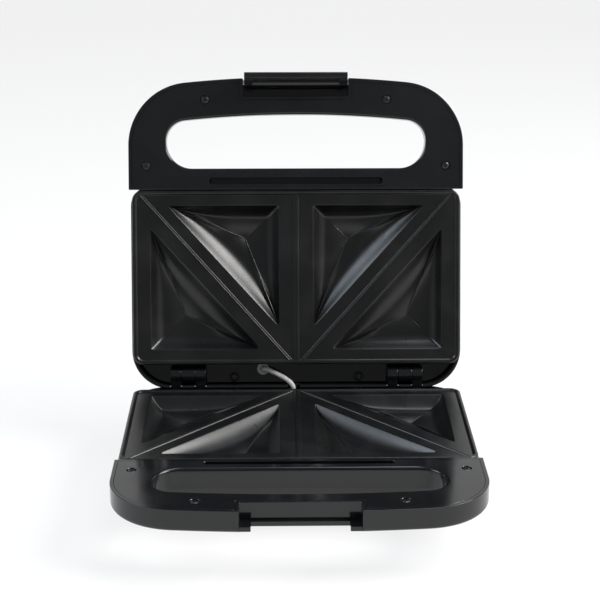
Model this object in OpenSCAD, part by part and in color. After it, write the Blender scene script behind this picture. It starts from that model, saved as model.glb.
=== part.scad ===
// Two-slice sandwich toaster, lid open on its stop.
// Origin on the table under the middle of the open toaster, front towards -Y, Z up.
// Both halves are drawn in the same half frame: z = 0 is the plane where the closed
// plates meet, and the half lies below it. The lid half is turned over and swung open.

/* [Casing] */
// Width of the moulded body
body_w = 240; // [225:5:260]
// Width of the handle loops
handle_w = 242; // [238:2:262]
// Height of each half from the meeting plane to its flat outer face
casing_h = 42; // [40:1:50]
// Wall of the mouldings
wall = 2.4; // [2:0.2:3]
// Height of the rubber feet below the base
foot_h = 6; // [5:1:10]

/* [Handle loops] */
// How far the handle reaches in front of the plates
handle_reach = 81.4; // [76:0.2:90]
// Radius of the handle's front corners
handle_corner_r = 45.5; // [40:0.5:50]
// Thickness of the handle
handle_t = 14.9; // [14:0.1:18]
// Width of the bar in front of the finger opening
grip_w = 27; // [24:1:30]
// Length of the finger opening
opening_w = 187.6; // [170:0.2:190]

/* [Cooking plates] */
// Width of a plate
plate_w = 237.7; // [222:0.1:257]
// Depth of a plate, front to back
plate_d = 126.7; // [120:0.1:130]
// Deepest point of a pocket below the plate's face
pocket_d = 12.5; // [9:0.5:14]

/* [Hinge and latch] */
// Opening angle of the lid on its stop
lid_open = 104.6; // [90:0.1:105]
// Hinge axis behind the plates
hinge_back = 7.9; // [7.5:0.1:9]
// Hinge axis above the meeting plane
hinge_up = 8.1; // [8:0.1:9]
// Width of the latch
latch_w = 73.6; // [60:0.4:80]

/* [Hidden] */

$fn = 64;
black = [0.09, 0.09, 0.10];
plate_black = [0.14, 0.14, 0.15];
steel = [0.62, 0.63, 0.65];
bright = [0.80, 0.81, 0.83];

// Levels and lines shared by both halves
mate_h = casing_h + foot_h;       // the meeting plane above the table
face_gap = 0.2;                   // the highest faces stay this far below the meeting plane
rim_z = -5;                       // the body's rim beside and behind the plates
cover_t = wall;                   // thickness of the handle covers
cover_z = -face_gap - cover_t;    // what the covers rest on
plate_front = -57.9;
plate_rear = plate_front + plate_d;
hinge_y = plate_rear + hinge_back;
rear_y = hinge_y + 10.15;
front_y = plate_front - handle_reach;
front_wall_y = plate_front - 0.4 - wall;
back_of_handle = plate_front - 0.4;

// Handle outline: the front is one long arc that meets the corner arcs smoothly
corner_x = handle_w / 2 - handle_corner_r;
corner_drop = 49.2;               // from the front line to the corner arcs' centres
corner_y = front_y + corner_drop;
arc_slack = corner_drop - handle_corner_r;
front_arc_r = (corner_x * corner_x + arc_slack * arc_slack) / (2 * arc_slack) + handle_corner_r;
front_arc_y = front_y + front_arc_r;

// Finger opening: a straight back edge and a front edge that follows the handle
opening_rear_y = plate_front - 15.65;
opening_rear_r = 19;
opening_front_r = 15;
opening_arc_r = front_arc_r - grip_w;

// Latch recess in the middle of the handle's front
recess_w = 76;
recess_y = front_y + 13.8;
ledge_d = 3;
latch_bay_z = -13.3;
latch_bay_ledge = 9.1;
notch_w = 61.4;
block_setback = 3;

// Latch
pivot_y = front_y + 3;
pivot_z = -8;
barrel_r = 5;
latch_pin_r = 1.5;
running = 0.06;
latch_t = 4.5;
hook_w = 6;
hook_in = 4.6;
hook_top = handle_t + 0.3;
hook_t = 4.4;

// Hinge
knuckle_r = 6;
hinge_pin_r = 2;
ear_x = [66.6, 84.6];
ear_w = 7.4;
knuckle_x = 74.3;
knuckle_w = 10;
base_deck_z = -6.2;
lid_deck_z = -15;

// Places of the small parts
cover_screws = [[108.3, plate_front - 17.5], [65.5, front_y + 16.3]];
hinge_screw_x = 45.8;
hinge_screw_y = plate_rear + 10.5;
lead_base = [-2, 76];
lead_lid = [-24.6, plate_rear + 4.6];
lead_hole_r = 2.05;
lead_r = 1.75;
lens_x = 11;
lens_y = 2;
gland = [70, -24];
foot_x = 88;
foot_front = -32;
foot_rear = 54;
reflector_z = -24;
element_z = -20;
element_r = 3.2;
post_spots = [[0, plate_front + 14], [0, plate_rear - 12], [111.2, 5], [-111.2, 5]];
tail_x = 14;
vent_count = 4;
vent_x = 24;
vent_y = -26;
vent_pitch = 9;
vent_len = 40;
vent_w = 3;

// A circular arc from angle a to angle b as n steps
function arc(x, y, r, a, b, n) =
    [for (i = [0:n]) let (t = a + (b - a) * i / n) [x + r * cos(t), y + r * sin(t)]];

// The same arc without its two end points, for use between arcs that have them
function arc_between(x, y, r, a, b, n) =
    [for (i = [1:n - 1]) let (t = a + (b - a) * i / n) [x + r * cos(t), y + r * sin(t)]];

// A rectangle with its own front and rear corner radii, counter-clockwise
function rounded(half, y0, y1, r0, r1, n = 10) = concat(
    arc(half - r0, y0 + r0, r0, -90, 0, n), arc(half - r1, y1 - r1, r1, 0, 90, n),
    arc(-half + r1, y1 - r1, r1, 90, 180, n), arc(-half + r0, y0 + r0, r0, 180, 270, n));

// The body's outline drawn in by side, front and rear amounts
function body_ring(side, front, rear, r0, r1) =
    rounded(body_w / 2 - side, front_wall_y + front, rear_y - rear, r0, r1);

// The handle's outline drawn in by an even amount
function handle_ring(inset, back = back_of_handle) = let (
        r = handle_corner_r - inset,
        big = front_arc_r - inset,
        lean = asin(corner_x / (front_arc_r - handle_corner_r)))
    concat(
        [[-handle_w / 2 + inset, back]],
        arc(-corner_x, corner_y, r, 180, 270 - lean, 14),
        arc_between(0, front_arc_y, big, 270 - lean, 270 + lean, 12),
        arc(corner_x, corner_y, r, -90 + lean, 0, 14),
        [[handle_w / 2 - inset, back]]);

// The finger opening grown by an even amount
function opening_ring(grow) = let (
        rf = opening_front_r + grow,
        rr = opening_rear_r + grow,
        cx = opening_w / 2 - opening_front_r,
        reach = opening_arc_r - opening_front_r,
        cy = front_arc_y - sqrt(reach * reach - cx * cx),
        rx = opening_w / 2 - opening_rear_r,
        ry = opening_rear_y - opening_rear_r,
        lean = asin(cx / reach))
    concat(
        arc_between(0, front_arc_y, opening_arc_r + grow, 270 - lean, 270 + lean, 12),
        arc(cx, cy, rf, -90 + lean, 0, 8), arc(rx, ry, rr, 0, 90, 8),
        arc(-rx, ry, rr, 90, 180, 8), arc(-cx, cy, rf, 180, 270 - lean, 8));

// A solid skinned over outlines of equal point counts, highest outline first
module loft(rings, heights) {
    n = len(rings[0]);
    m = len(rings);
    points = [for (k = [0:m - 1]) for (p = rings[k]) [p[0], p[1], heights[k]]];
    sides = [for (k = [0:m - 2]) for (i = [0:n - 1]) let (j = (i + 1) % n)
        each [[k * n + i, (k + 1) * n + i, (k + 1) * n + j], [k * n + i, (k + 1) * n + j, k * n + j]]];
    top = [for (i = [n - 1:-1:0]) i];
    bottom = [for (i = [0:n - 1]) (m - 1) * n + i];
    polyhedron(points, concat([for (f = sides) [f[0], f[2], f[1]]], [top], [bottom]));
}

module both_sides() {
    children();
    mirror([1, 0, 0]) children();
}

module in_base() {
    translate([0, 0, mate_h]) children();
}

module in_lid() {
    translate([0, hinge_y, mate_h + hinge_up])
        rotate([-lid_open, 0, 0])
            translate([0, -hinge_y, -hinge_up])
                mirror([0, 0, 1]) children();
}

// Rod along X between two x values
module rod(x0, x1, y, z, r) {
    translate([x0, y, z]) rotate([0, 90, 0]) cylinder(h = x1 - x0, r = r);
}

// Outer and inner skins of the body: near-vertical walls, a sloped front and a crowned face
module body_skin(crown, thin, mouth_z) {
    levels = [[mouth_z, 0, 0, 0, 14, 28], [-16, 0.3, 1.5, 0.3, 14, 28],
        [-30, 1.2, 7.5, 1.0, 16, 28], [-36.5, 3.2, 11.5, 3.0, 16, 26],
        [-40.4, 7.0, 16.5, 7.0, 15, 23], [-casing_h, 13, 24, 13, 14, 20],
        [-casing_h - crown * 0.7, 34, 42, 34, 12, 14], [-casing_h - crown, 58, 58, 58, 9, 9]];
    used = crown > 0 ? 7 : 5;
    loft([for (k = [0:used]) let (v = levels[k])
            body_ring(v[1] + thin, v[2] + thin, v[3] + thin, v[4] - thin, v[5] - thin)],
        [for (k = [0:used]) levels[k][0] + thin]);
}

// Handle slab with a broken inner edge and a rounded outer one
module handle_skin() {
    loft([handle_ring(0.4), handle_ring(0), handle_ring(0), handle_ring(0.5), handle_ring(1.9)],
        [-face_gap, -face_gap - 0.5, -handle_t + 2.4, -handle_t + 0.8, -handle_t]);
}

module recess_2d(grow) {
    translate([-recess_w / 2 - grow, front_y - 8])
        square([recess_w + 2 * grow, recess_y - front_y + 8 + grow]);
}

// Hollow moulding of one half: body pan, handle channel, wall round the finger opening
module half_shell(crown, blocks) {
    floor_z = -handle_t + 3;
    difference() {
        union() {
            body_skin(crown, 0, rim_z);
            handle_skin();
        }
        body_skin(crown, wall, rim_z + 3);
        translate([0, 0, floor_z]) linear_extrude(-floor_z + 1) difference() {
            polygon(handle_ring(wall, front_wall_y));
            polygon(opening_ring(2.2));
            recess_2d(2);
        }
        // the cover's seat
        translate([0, 0, cover_z]) linear_extrude(cover_t + 1) difference() {
            polygon(handle_ring(wall, back_of_handle + 1));
            recess_2d(2);
        }
        translate([0, 0, -handle_t - 5]) linear_extrude(handle_t + 6) polygon(opening_ring(0));
        // the latch recess, with a thin ledge at its back
        translate([0, 0, blocks ? floor_z : latch_bay_z]) linear_extrude(handle_t) recess_2d(0);
        translate([-recess_w / 2, front_y - 8, -handle_t - 5])
            cube([recess_w, 8 + (blocks ? block_setback : recess_y - front_y - latch_bay_ledge), handle_t]);
        if (blocks)
            translate([-notch_w / 2, front_y - 8, -handle_t - 5])
                cube([notch_w, recess_y - ledge_d - front_y + 8, handle_t]);
    }
    // screw towers under the handle cover
    for (p = cover_screws) both_sides() translate([p[0], p[1], floor_z - 0.5]) difference() {
        cylinder(h = cover_z - floor_z + 0.5, r = 3.6);
        translate([0, 0, 0.5]) cylinder(h = 20, r = 1.3);
    }
}

// Finger opening through a cover, with a rolled lip that leads the fingers in
module lipped_opening() {
    loft([opening_ring(1.8), opening_ring(1.8), opening_ring(0.7), opening_ring(0), opening_ring(0)],
        [1, 0, -0.4, -1.3, -cover_t - 1]);
}

// Inner face of the handle: a plate with the finger opening, vent slot and screw seats
module handle_cover() {
    translate([0, 0, cover_z]) difference() {
        linear_extrude(cover_t) difference() {
            polygon(handle_ring(wall + 0.15));
            recess_2d(2.15);
            both_sides() translate([60.2, plate_front - 6.7]) circle(r = 2.4);
            translate([-60.2, plate_front - 9.1]) square([120.4, 4.8]);
        }
        translate([0, 0, cover_t]) lipped_opening();
        for (p = cover_screws) both_sides() translate([p[0], p[1], -1]) {
            cylinder(h = 5, r = 1.7);
            translate([0, 0, 2]) cylinder(h = 4, r = 3.25);
        }
    }
}

module cover_screw_set() {
    for (p = cover_screws) both_sides() translate([p[0], p[1], cover_z]) {
        translate([0, 0, 1]) cylinder(h = 1.1, r = 2.8);
        translate([0, 0, -6.5]) cylinder(h = 7.6, r = 1.3);
    }
}

// Straight line of the pocket's corners: the right angle, the long ends of its two legs
leg_x = 80.4;
leg_y = 88.2;
angle_x = atan(leg_y / leg_x);
angle_y = 90 - angle_x;

// One triangular pocket with its right angle at the origin, legs along +X and +Y.
// Steep walls run out to nothing at the two sharp tips, and the floor falls in three
// facets to a point. grow moves every face outwards, for the underside of the sheet.
module pocket(grow, top_z) {
    steps = 10;
    a = [-grow, -grow];
    b = [leg_x + grow / tan(angle_x / 2), -grow];
    c = [-grow, leg_y + grow / tan(angle_y / 2)];
    low = [24.8, 24.2];
    wall_in = 9.6;
    long_in = 13.5;
    land = -1.4;
    bottom = land - pocket_d - grow;
    // position along each side, inset and depth of the wall's foot at a fraction u of the wall
    function fade(t) = 1 - pow(t, 3.2);
    function bow(t) = pow(sin(180 * t), 0.8);
    function leg_point(p, q, side, t, u, v) = let (f = fade(t), s = wall_in * u * f)
        [p[0] + (q[0] - p[0]) * t + (side[0] + (1 - t) * side[1]) * s,
         p[1] + (q[1] - p[1]) * t + (side[1] + (1 - t) * side[0]) * s,
         land - 8.8 * v * pow(max(f, 0), 0.7)];
    long_way = (c - b) / norm(c - b);
    long_in_way = [long_way[1], -long_way[0]] * sign(cross(long_way, a - b)) * -1;
    function long_point(t, u, v) = let (p = b + (c - b) * t + long_in_way * long_in * u * bow(t))
        [p[0], p[1], land - 9.6 * v * pow(bow(t), 0.8)];
    function tip(p, u, v) = let (q = p + (low - p) / norm(low - p) * 2.4 * u) [q[0], q[1], land - 1.6 * v];
    function ring(u, v) = concat(
        [for (i = [0:steps - 1]) leg_point(a, b, [0, 1], i / steps, u, v)],
        [tip(b, u, v)], [for (i = [1:steps - 1]) long_point(i / steps, u, v)], [tip(c, u, v)],
        [for (i = [1:steps - 1]) leg_point(a, c, [1, 0], 1 - i / steps, u, v)]);
    levels = [[0, 0], [0.28, 0.42], [0.62, 0.82], [1, 1]];
    n = 3 * steps;
    rim = ring(0, 0);
    points = concat([for (p = rim) [p[0], p[1], top_z]],
        [for (l = levels) for (p = ring(l[0], l[1])) [p[0], p[1], p[2] - grow]],
        [[low[0], low[1], bottom], [low[0], low[1], top_z]]);
    m = len(levels);
    sides = [for (k = [0:m - 1]) for (i = [0:n - 1]) let (j = (i + 1) % n)
        each [[k * n + i, (k + 1) * n + j, (k + 1) * n + i], [k * n + i, k * n + j, (k + 1) * n + j]]];
    floor = [for (i = [0:n - 1]) [m * n + i, m * n + (i + 1) % n, (m + 1) * n]];
    cap = [for (i = [0:n - 1]) [(i + 1) % n, i, (m + 1) * n + 1]];
    polyhedron(points, concat(sides, floor, cap));
}

// The four pockets: two in each square, point symmetric about the square's middle
module pockets(grow, top_z) {
    square_x = 59.1;
    square_y = plate_front + 63.6;
    both_sides() {
        for (turn = [0, 180])
            translate([square_x, square_y, 0]) rotate([0, 0, turn])
                translate([-46.6, -52.3, 0]) pocket(grow, top_z);
    }
}

// Cooking plate: a pressed sheet with a raised rim, turned-down edge, pockets and ridges
module cooking_plate() {
    land_z = -1.4;
    sheet = 2;
    half = plate_w / 2;
    difference() {
        union() {
            translate([0, 0, rim_z + 0.1]) linear_extrude(-face_gap - rim_z - 0.1)
                polygon(rounded(half, plate_front, plate_rear, 7.5, 7.5, 6));
            pockets(2, land_z - 0.5);
            for (p = post_spots) translate([p[0], p[1], reflector_z]) cylinder(h = 20, r = 3);
        }
        // the raised rim
        translate([0, 0, land_z]) linear_extrude(5)
            polygon(rounded(half - 3.6, plate_front + 3.6, plate_rear - 3.6, 4.5, 4.5, 6));
        // the open underside between the turned-down edges
        translate([0, 0, rim_z - 1]) linear_extrude(-rim_z + land_z - sheet + 1) difference() {
            polygon(rounded(half - 1.6, plate_front + 1.6, plate_rear - 1.6, 5.9, 5.9, 6));
            projection_of_pockets();
            for (p = post_spots) translate([p[0], p[1]]) circle(r = 3);
        }
        pockets(0, 1);
        for (p = post_spots) translate([p[0], p[1], reflector_z - 1]) cylinder(h = 13, r = 1.3);
    }
    // the soft ridge between the squares and the sharp sealing ridges across them
    intersection() {
        translate([0, 0, -3.5]) rotate([-90, 0, 0])
            translate([0, 0, plate_front + 1]) cylinder(h = plate_d - 2, r = 3);
        translate([-5, plate_front, land_z - 0.4]) cube([10, plate_d, 4]);
    }
    both_sides() translate([113.2, plate_front + 2.6, land_z - 0.3])
        rotate([0, 0, 90 + atan((113.2 - 3.8) / 121.7)]) translate([0, -0.9, 0])
            cube([163.6, 1.8, 1.2]);
}

// Plan outline of the pockets' underside, kept when the sheet is hollowed from below
module projection_of_pockets() {
    square_x = 59.1;
    square_y = plate_front + 63.6;
    grow = 2;
    both_sides() for (turn = [0, 180])
        translate([square_x, square_y]) rotate([0, 0, turn]) translate([-46.6, -52.3])
            polygon([[-grow, -grow], [leg_x + grow / tan(angle_x / 2), -grow],
                [-grow, leg_y + grow / tan(angle_y / 2)]]);
}

// Sheathed tubular element: a loop under the pockets with both cold ends at the rear
module element_tube() {
    x1 = 84;
    y0 = plate_front + 32;
    y1 = plate_rear - 30;
    bend = 16;
    module run_x(xa, xb, y) translate([xa, y, element_z]) rotate([0, 90, 0])
        cylinder(h = xb - xa, r = element_r);
    module run_y(x, ya, yb) translate([x, ya, element_z]) rotate([-90, 0, 0])
        cylinder(h = yb - ya, r = element_r);
    module elbow(x, y, start) translate([x, y, element_z]) rotate([0, 0, start])
        rotate_extrude(angle = 90) translate([bend, 0]) circle(r = element_r);
    run_x(-x1 + bend, x1 - bend, y0);
    both_sides() {
        elbow(x1 - bend, y0 + bend, -90);
        run_y(x1, y0 + bend, y1 - bend);
        elbow(x1 - bend, y1 - bend, 0);
        run_x(tail_x + bend, x1 - bend, y1);
        translate([tail_x + bend, y1 + bend, element_z]) rotate([0, 0, 180])
            rotate_extrude(angle = 90) translate([bend, 0]) circle(r = element_r);
        translate([tail_x, y1 + bend, element_z]) rotate([-90, 0, 0]) {
            cylinder(h = 8, r = element_r);
            cylinder(h = 17, r = 1.2);
        }
    }
}

// Bright pan under the element, turned up round its edge
module reflector_pan() {
    half = 115.6;
    y0 = plate_front + 9;
    y1 = plate_rear - 4;
    difference() {
        translate([0, 0, reflector_z - 0.8]) linear_extrude(6.8)
            polygon(rounded(half, y0, y1, 8, 8, 6));
        translate([0, 0, reflector_z]) linear_extrude(10)
            polygon(rounded(half - 0.8, y0 + 0.8, y1 - 0.8, 7.2, 7.2, 6));
        for (p = post_spots) translate([p[0], p[1], reflector_z - 2]) cylinder(h = 4, r = 1.7);
        both_sides() translate([tail_x - 2.5, y1 - 3, reflector_z]) cube([5, 6, 10]);
    }
}

module reflector_screw_set() {
    for (p = post_spots) translate([p[0], p[1], reflector_z - 0.8]) {
        translate([0, 0, -1.8]) cylinder(h = 1.8, r = 2.8);
        cylinder(h = 9, r = 1.3);
    }
}

// Deck behind a plate, between the side walls, with the two screws and the lead's hole
module deck(z, lead) {
    translate([0, 0, z - wall]) difference() {
        linear_extrude(wall) intersection() {
            polygon(body_ring(wall + 0.9, wall + 0.9, wall + 0.9, 12, 25));
            translate([-body_w / 2, plate_rear + 0.3]) square([body_w, 30]);
        }
        both_sides() translate([hinge_screw_x, hinge_screw_y, -1]) cylinder(h = 8, r = 1.7);
        translate([lead[0], lead[1], -1]) cylinder(h = 8, r = 3.5);
    }
    both_sides() translate([hinge_screw_x, hinge_screw_y, z - 0.2]) difference() {
        cylinder(h = 1.1, r = 4.2);
        translate([0, 0, -1]) cylinder(h = 4, r = 1.7);
    }
}

module base_deck() {
    deck(base_deck_z, lead_base);
    both_sides() for (x = ear_x) difference() {
        union() {
            rod(x, x + ear_w, hinge_y, hinge_up, knuckle_r);
            translate([x, hinge_y - 5, base_deck_z - 1]) cube([ear_w, 10, hinge_up - base_deck_z + 1]);
        }
        rod(x - 1, x + ear_w + 1, hinge_y, hinge_up, hinge_pin_r);
    }
}

// Window that the base's hinge ears swing through, in the lid half
module hinge_windows() {
    both_sides() translate([ear_x[0] - 0.6, hinge_y + 2.6, -19])
        cube([ear_x[1] + ear_w - ear_x[0] + 1.2, 20, 19]);
}

module lid_deck() {
    difference() {
        union() {
            deck(lid_deck_z, lead_lid);
            // the wall from the deck up to the plate's turned-down edge
            translate([0, 0, lid_deck_z - 1]) linear_extrude(rim_z - lid_deck_z + 1) intersection() {
                polygon(body_ring(wall + 0.9, wall + 0.9, wall + 0.9, 12, 25));
                translate([-body_w / 2, plate_rear - 1.6]) square([body_w, 1.6]);
            }
        }
        hinge_windows();
        translate([lead_lid[0], lead_lid[1], -20]) cylinder(h = 12, r = 3.5);
    }
    both_sides() difference() {
        union() {
            rod(knuckle_x, knuckle_x + knuckle_w, hinge_y, -hinge_up, knuckle_r);
            translate([knuckle_x, hinge_y - 5.5, lid_deck_z - 1])
                cube([knuckle_w, 8, -lid_deck_z - hinge_up + 1]);
        }
        rod(knuckle_x - 1, knuckle_x + knuckle_w + 1, hinge_y, -hinge_up, hinge_pin_r + running);
    }
}

module hinge_screw_set(z) {
    both_sides() translate([hinge_screw_x, hinge_screw_y, z]) {
        translate([0, 0, 0.9]) cylinder(h = 1.5, r = 2.8);
        translate([0, 0, -8]) cylinder(h = 9, r = 1.3);
    }
}

// Screw towers and rests that carry a deck, from the outer face of the half
module deck_towers(z) {
    both_sides() translate([hinge_screw_x, hinge_screw_y, 0]) difference() {
        translate([0, 0, -casing_h + 1.2]) cylinder(h = casing_h - 1.2 + z - wall, r = 3.8);
        translate([0, 0, z - wall - 12]) cylinder(h = 14, r = 1.3);
    }
    both_sides() translate([95, rear_y - 6.5, -casing_h + 4])
        cube([4, 4.3, casing_h - 4 + z - wall]);
}

// Slot with round ends through the base's floor
module air_slot(x) {
    translate([x, vent_y, -casing_h - 1]) {
        translate([-vent_w / 2, 0, 0]) cube([vent_w, vent_len, wall + 2]);
        for (y = [0, vent_len]) translate([0, y, 0]) cylinder(h = wall + 2, r = vent_w / 2);
    }
}

module base_housing() {
    color(black) in_base() {
        difference() {
            union() {
                half_shell(0, true);
                // flat seat for the cord bush
                translate([gland[0], rear_y - 4.3, gland[1]]) rotate([-90, 0, 0]) cylinder(h = 4.5, r = 10.5);
            }
            translate([gland[0], rear_y - 10, gland[1]]) rotate([-90, 0, 0]) cylinder(h = 20, r = 6);
            for (x = [-foot_x, foot_x]) for (y = [foot_front, foot_rear])
                translate([x, y, -casing_h - 1]) cylinder(h = 8, r = 3);
            both_sides() for (k = [0:vent_count - 1]) air_slot(vent_x + k * vent_pitch);
        }
        deck_towers(base_deck_z);
    }
}

module lid_housing() {
    color(black) in_lid() {
        difference() {
            half_shell(2, false);
            hinge_windows();
            // slot in the rear wall that lets the lead past when the lid stands open
            translate([lead_base[0] - 4.5, rear_y - 4, -14.5]) cube([9, 8, 20]);
            for (x = [-lens_x, lens_x]) translate([x, lens_y, -casing_h - 8]) cylinder(h = 16, r = 3.6);
            rod(-recess_w / 2 - 6, recess_w / 2 + 6, pivot_y, pivot_z, latch_pin_r);
        }
        deck_towers(lid_deck_z);
        // bosses that hold the latch pin's ends
        both_sides() difference() {
            rod(recess_w / 2 + 1.9, recess_w / 2 + 5, pivot_y + 1.6, pivot_z, 3.6);
            rod(recess_w / 2, recess_w / 2 + 6, pivot_y, pivot_z, latch_pin_r);
        }
    }
}

module base_handle_cover() {
    color(black) in_base() handle_cover();
}

module lid_handle_cover() {
    color(black) in_lid() handle_cover();
}

module base_plate() {
    color(plate_black) in_base() cooking_plate();
}

module lid_plate() {
    color(plate_black) in_lid() cooking_plate();
}

module base_heating_element() {
    color(steel) in_base() element_tube();
}

module lid_heating_element() {
    color(steel) in_lid() element_tube();
}

module base_heat_reflector() {
    color(bright) in_base() reflector_pan();
}

module lid_heat_reflector() {
    color(bright) in_lid() reflector_pan();
}

module base_reflector_screws() {
    color(steel) in_base() reflector_screw_set();
}

module lid_reflector_screws() {
    color(steel) in_lid() reflector_screw_set();
}

module base_cover_screws() {
    color(steel) in_base() cover_screw_set();
}

module lid_cover_screws() {
    color(steel) in_lid() cover_screw_set();
}

module base_hinge_bracket() {
    color(black) in_base() base_deck();
}

module lid_hinge_bracket() {
    color(black) in_lid() lid_deck();
}

module base_hinge_screws() {
    color(steel) in_base() hinge_screw_set(base_deck_z);
}

module lid_hinge_screws() {
    color(steel) in_lid() hinge_screw_set(lid_deck_z);
}

module hinge_pin() {
    color(steel) in_base() rod(ear_x[0] + 0.2, ear_x[1] + ear_w - 0.2, hinge_y, hinge_up, hinge_pin_r);
}

module hinge_pin_right() {
    hinge_pin();
}

module hinge_pin_left() {
    mirror([1, 0, 0]) hinge_pin();
}

// Rubber foot: a short plug in the base and a rounded pad
module rubber_foot(x, y) {
    color([0.12, 0.12, 0.12]) translate([x, y, 0]) rotate_extrude()
        polygon(concat([[0, 0]], arc(7.2, 1, 1, -90, 0, 4), [[9, foot_h], [3, foot_h], [3, foot_h + 3.4], [0, foot_h + 3.4]]));
}

module foot_front_left() {
    rubber_foot(-foot_x, foot_front);
}

module foot_front_right() {
    rubber_foot(foot_x, foot_front);
}

module foot_rear_left() {
    rubber_foot(-foot_x, foot_rear);
}

module foot_rear_right() {
    rubber_foot(foot_x, foot_rear);
}

// Ceramic connector block with two wire holes
module connector(x, y) {
    translate([x - 12, y - 8, -casing_h + wall]) difference() {
        cube([24, 16, 11]);
        for (dx = [6, 18]) translate([dx, -1, 5.5]) rotate([-90, 0, 0]) cylinder(h = 18, r = 1.8);
    }
}

module terminal_block() {
    color([0.9, 0.88, 0.82]) in_base() connector(lead_base[0], lead_base[1] - 14);
}

module splice_connector() {
    color([0.9, 0.88, 0.82]) in_lid() connector(lead_lid[0], lead_lid[1] - 11);
}

module thermal_fuse() {
    color(steel) in_base() translate([0, 12, -8]) rotate([-90, 0, 0]) {
        cylinder(h = 14, r = 2.4);
        translate([0, 0, -7]) cylinder(h = 28, r = 0.6);
    }
}

module thermostat() {
    color(bright) in_lid() translate([0, -22, -3.4]) {
        translate([0, 0, -2]) cylinder(h = 2, r = 8.4);
        translate([0, 0, -11]) cylinder(h = 9, r = 7.6);
    }
}

// Rubber bush in the rear wall, grooved to sit in its hole
module cord_gland() {
    color([0.12, 0.12, 0.12]) in_base() translate([gland[0], rear_y + 0.2, gland[1]])
        rotate([90, 0, 0]) rotate_extrude()
            polygon([[3.6, -3], [6.5, -3], [8.6, -1.6], [8.6, 0], [6, 0], [6, 4.5], [7.2, 4.5], [6.4, 9], [3.6, 9]]);
}

// Grommet where the lead passes a deck
module lead_bush(place, z) {
    translate([place[0], place[1], z]) rotate_extrude()
        polygon([[lead_hole_r, 0.9], [4.4, 0.9], [4.4, 0], [3.5, 0], [3.5, -wall], [4.4, -wall],
            [3.9, -4.4], [lead_hole_r, -4.4]]);
}

module base_lead_bush() {
    color([0.85, 0.85, 0.83]) in_base() lead_bush(lead_base, base_deck_z);
}

module lid_lead_bush() {
    color([0.85, 0.85, 0.83]) in_lid() lead_bush(lead_lid, lid_deck_z);
}

module lens(x) {
    in_lid() translate([x, lens_y, -casing_h - 1.9]) rotate([180, 0, 0]) rotate_extrude()
        polygon(concat([[0, -3.4], [3.5, -3.4], [3.5, 0.2]], arc(0, -3.4, 4.99, 46, 90, 6)));
}

module power_lens() {
    color([0.8, 0.1, 0.08]) lens(-lens_x);
}

module ready_lens() {
    color([0.1, 0.6, 0.2]) lens(lens_x);
}

module neon(x) {
    in_lid() translate([x, lens_y, -casing_h + 1.7]) {
        cylinder(h = 9, r = 2.4);
        translate([0, 0, 9]) cylinder(h = 3, r = 0.8);
    }
}

module power_lamp() {
    color([0.9, 0.6, 0.5]) neon(-lens_x);
}

module ready_lamp() {
    color([0.8, 0.9, 0.8]) neon(lens_x);
}

module latch_pin() {
    color(steel) in_lid() rod(-recess_w / 2 - 4.5, recess_w / 2 + 4.5, pivot_y, pivot_z, latch_pin_r);
}

// Latch: a barrel on the pin, a bar with a rounded end across the closed handles, and a hook at
// each end whose sloped tip rides over the base's catch block
module latch() {
    outer_y = pivot_y - barrel_r;
    inner_y = outer_y + latch_t;
    hook_y = inner_y + hook_in;
    end_z = hook_top + hook_t;
    module along_x(x0, x1, shape) translate([x0, 0, 0]) rotate([90, 0, 90])
        linear_extrude(x1 - x0) polygon(shape);
    color(black) in_lid() difference() {
        union() {
            rod(-latch_w / 2, latch_w / 2, pivot_y, pivot_z, barrel_r);
            along_x(-latch_w / 2, latch_w / 2, concat([[outer_y, pivot_z], [inner_y, pivot_z]],
                arc(inner_y - 1, end_z - 1, 1, 0, 90, 4), arc(outer_y + 1.8, end_z - 1.8, 1.8, 90, 180, 6)));
            both_sides() along_x(latch_w / 2 - hook_w, latch_w / 2, [[outer_y + 1, hook_top],
                [hook_y, hook_top], [hook_y, hook_top + 1.2], [hook_y - 3.6, end_z - 0.4],
                [outer_y + 1, end_z - 1.9]]);
        }
        rod(-latch_w / 2 - 1, latch_w / 2 + 1, pivot_y, pivot_z, latch_pin_r + running);
    }
}

// Middle line of the sleeved lead, from the base's connector to the lid's, lid open
lead_route = [[-2, 68, 19.7], [-2, 68.6, 23.5], [-2, 71, 27.5], [-2, 74.4, 31], [-2, 76, 35],
    [-2, 76, 40], [-2, 76, 43.6], [-2.8, 76, 47], [-5.2, 76, 50.4], [-9, 76, 53.4], [-13.5, 76.3, 56],
    [-18, 77.2, 58], [-22, 78.8, 59.2], [-24.3, 81, 58.5], [-24.6, 84.2, 57.55],
    [-24.6, 88.5, 56.4], [-24.6, 92.2, 56.4], [-24.6, 95.2, 58.1], [-24.6, 97.4, 59]];

// Tube swept along a route, each ring square to the route there
module swept(route, r, sides) {
    n = len(route);
    function unit(v) = v / norm(v);
    function heading(i) = unit(route[min(i + 1, n - 1)] - route[max(i - 1, 0)]);
    function across(d) = unit(cross(d, abs(d[0]) > 0.9 ? [0, 0, 1] : [1, 0, 0]));
    points = [for (i = [0:n - 1]) let (d = heading(i), u = across(d), v = cross(d, u))
        for (k = [0:sides - 1]) route[i] + r * cos(360 * k / sides) * u + r * sin(360 * k / sides) * v];
    skin = [for (i = [0:n - 2]) for (k = [0:sides - 1]) let (q = (k + 1) % sides)
        each [[i * sides + k, i * sides + q, (i + 1) * sides + q], [i * sides + k, (i + 1) * sides + q, (i + 1) * sides + k]]];
    polyhedron(points, concat([for (f = skin) [f[0], f[2], f[1]]],
        [[for (k = [0:sides - 1]) k]], [[for (k = [sides - 1:-1:0]) (n - 1) * sides + k]]));
}

module lid_lead() {
    color([0.9, 0.9, 0.87]) swept(lead_route, lead_r, 8);
}

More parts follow.
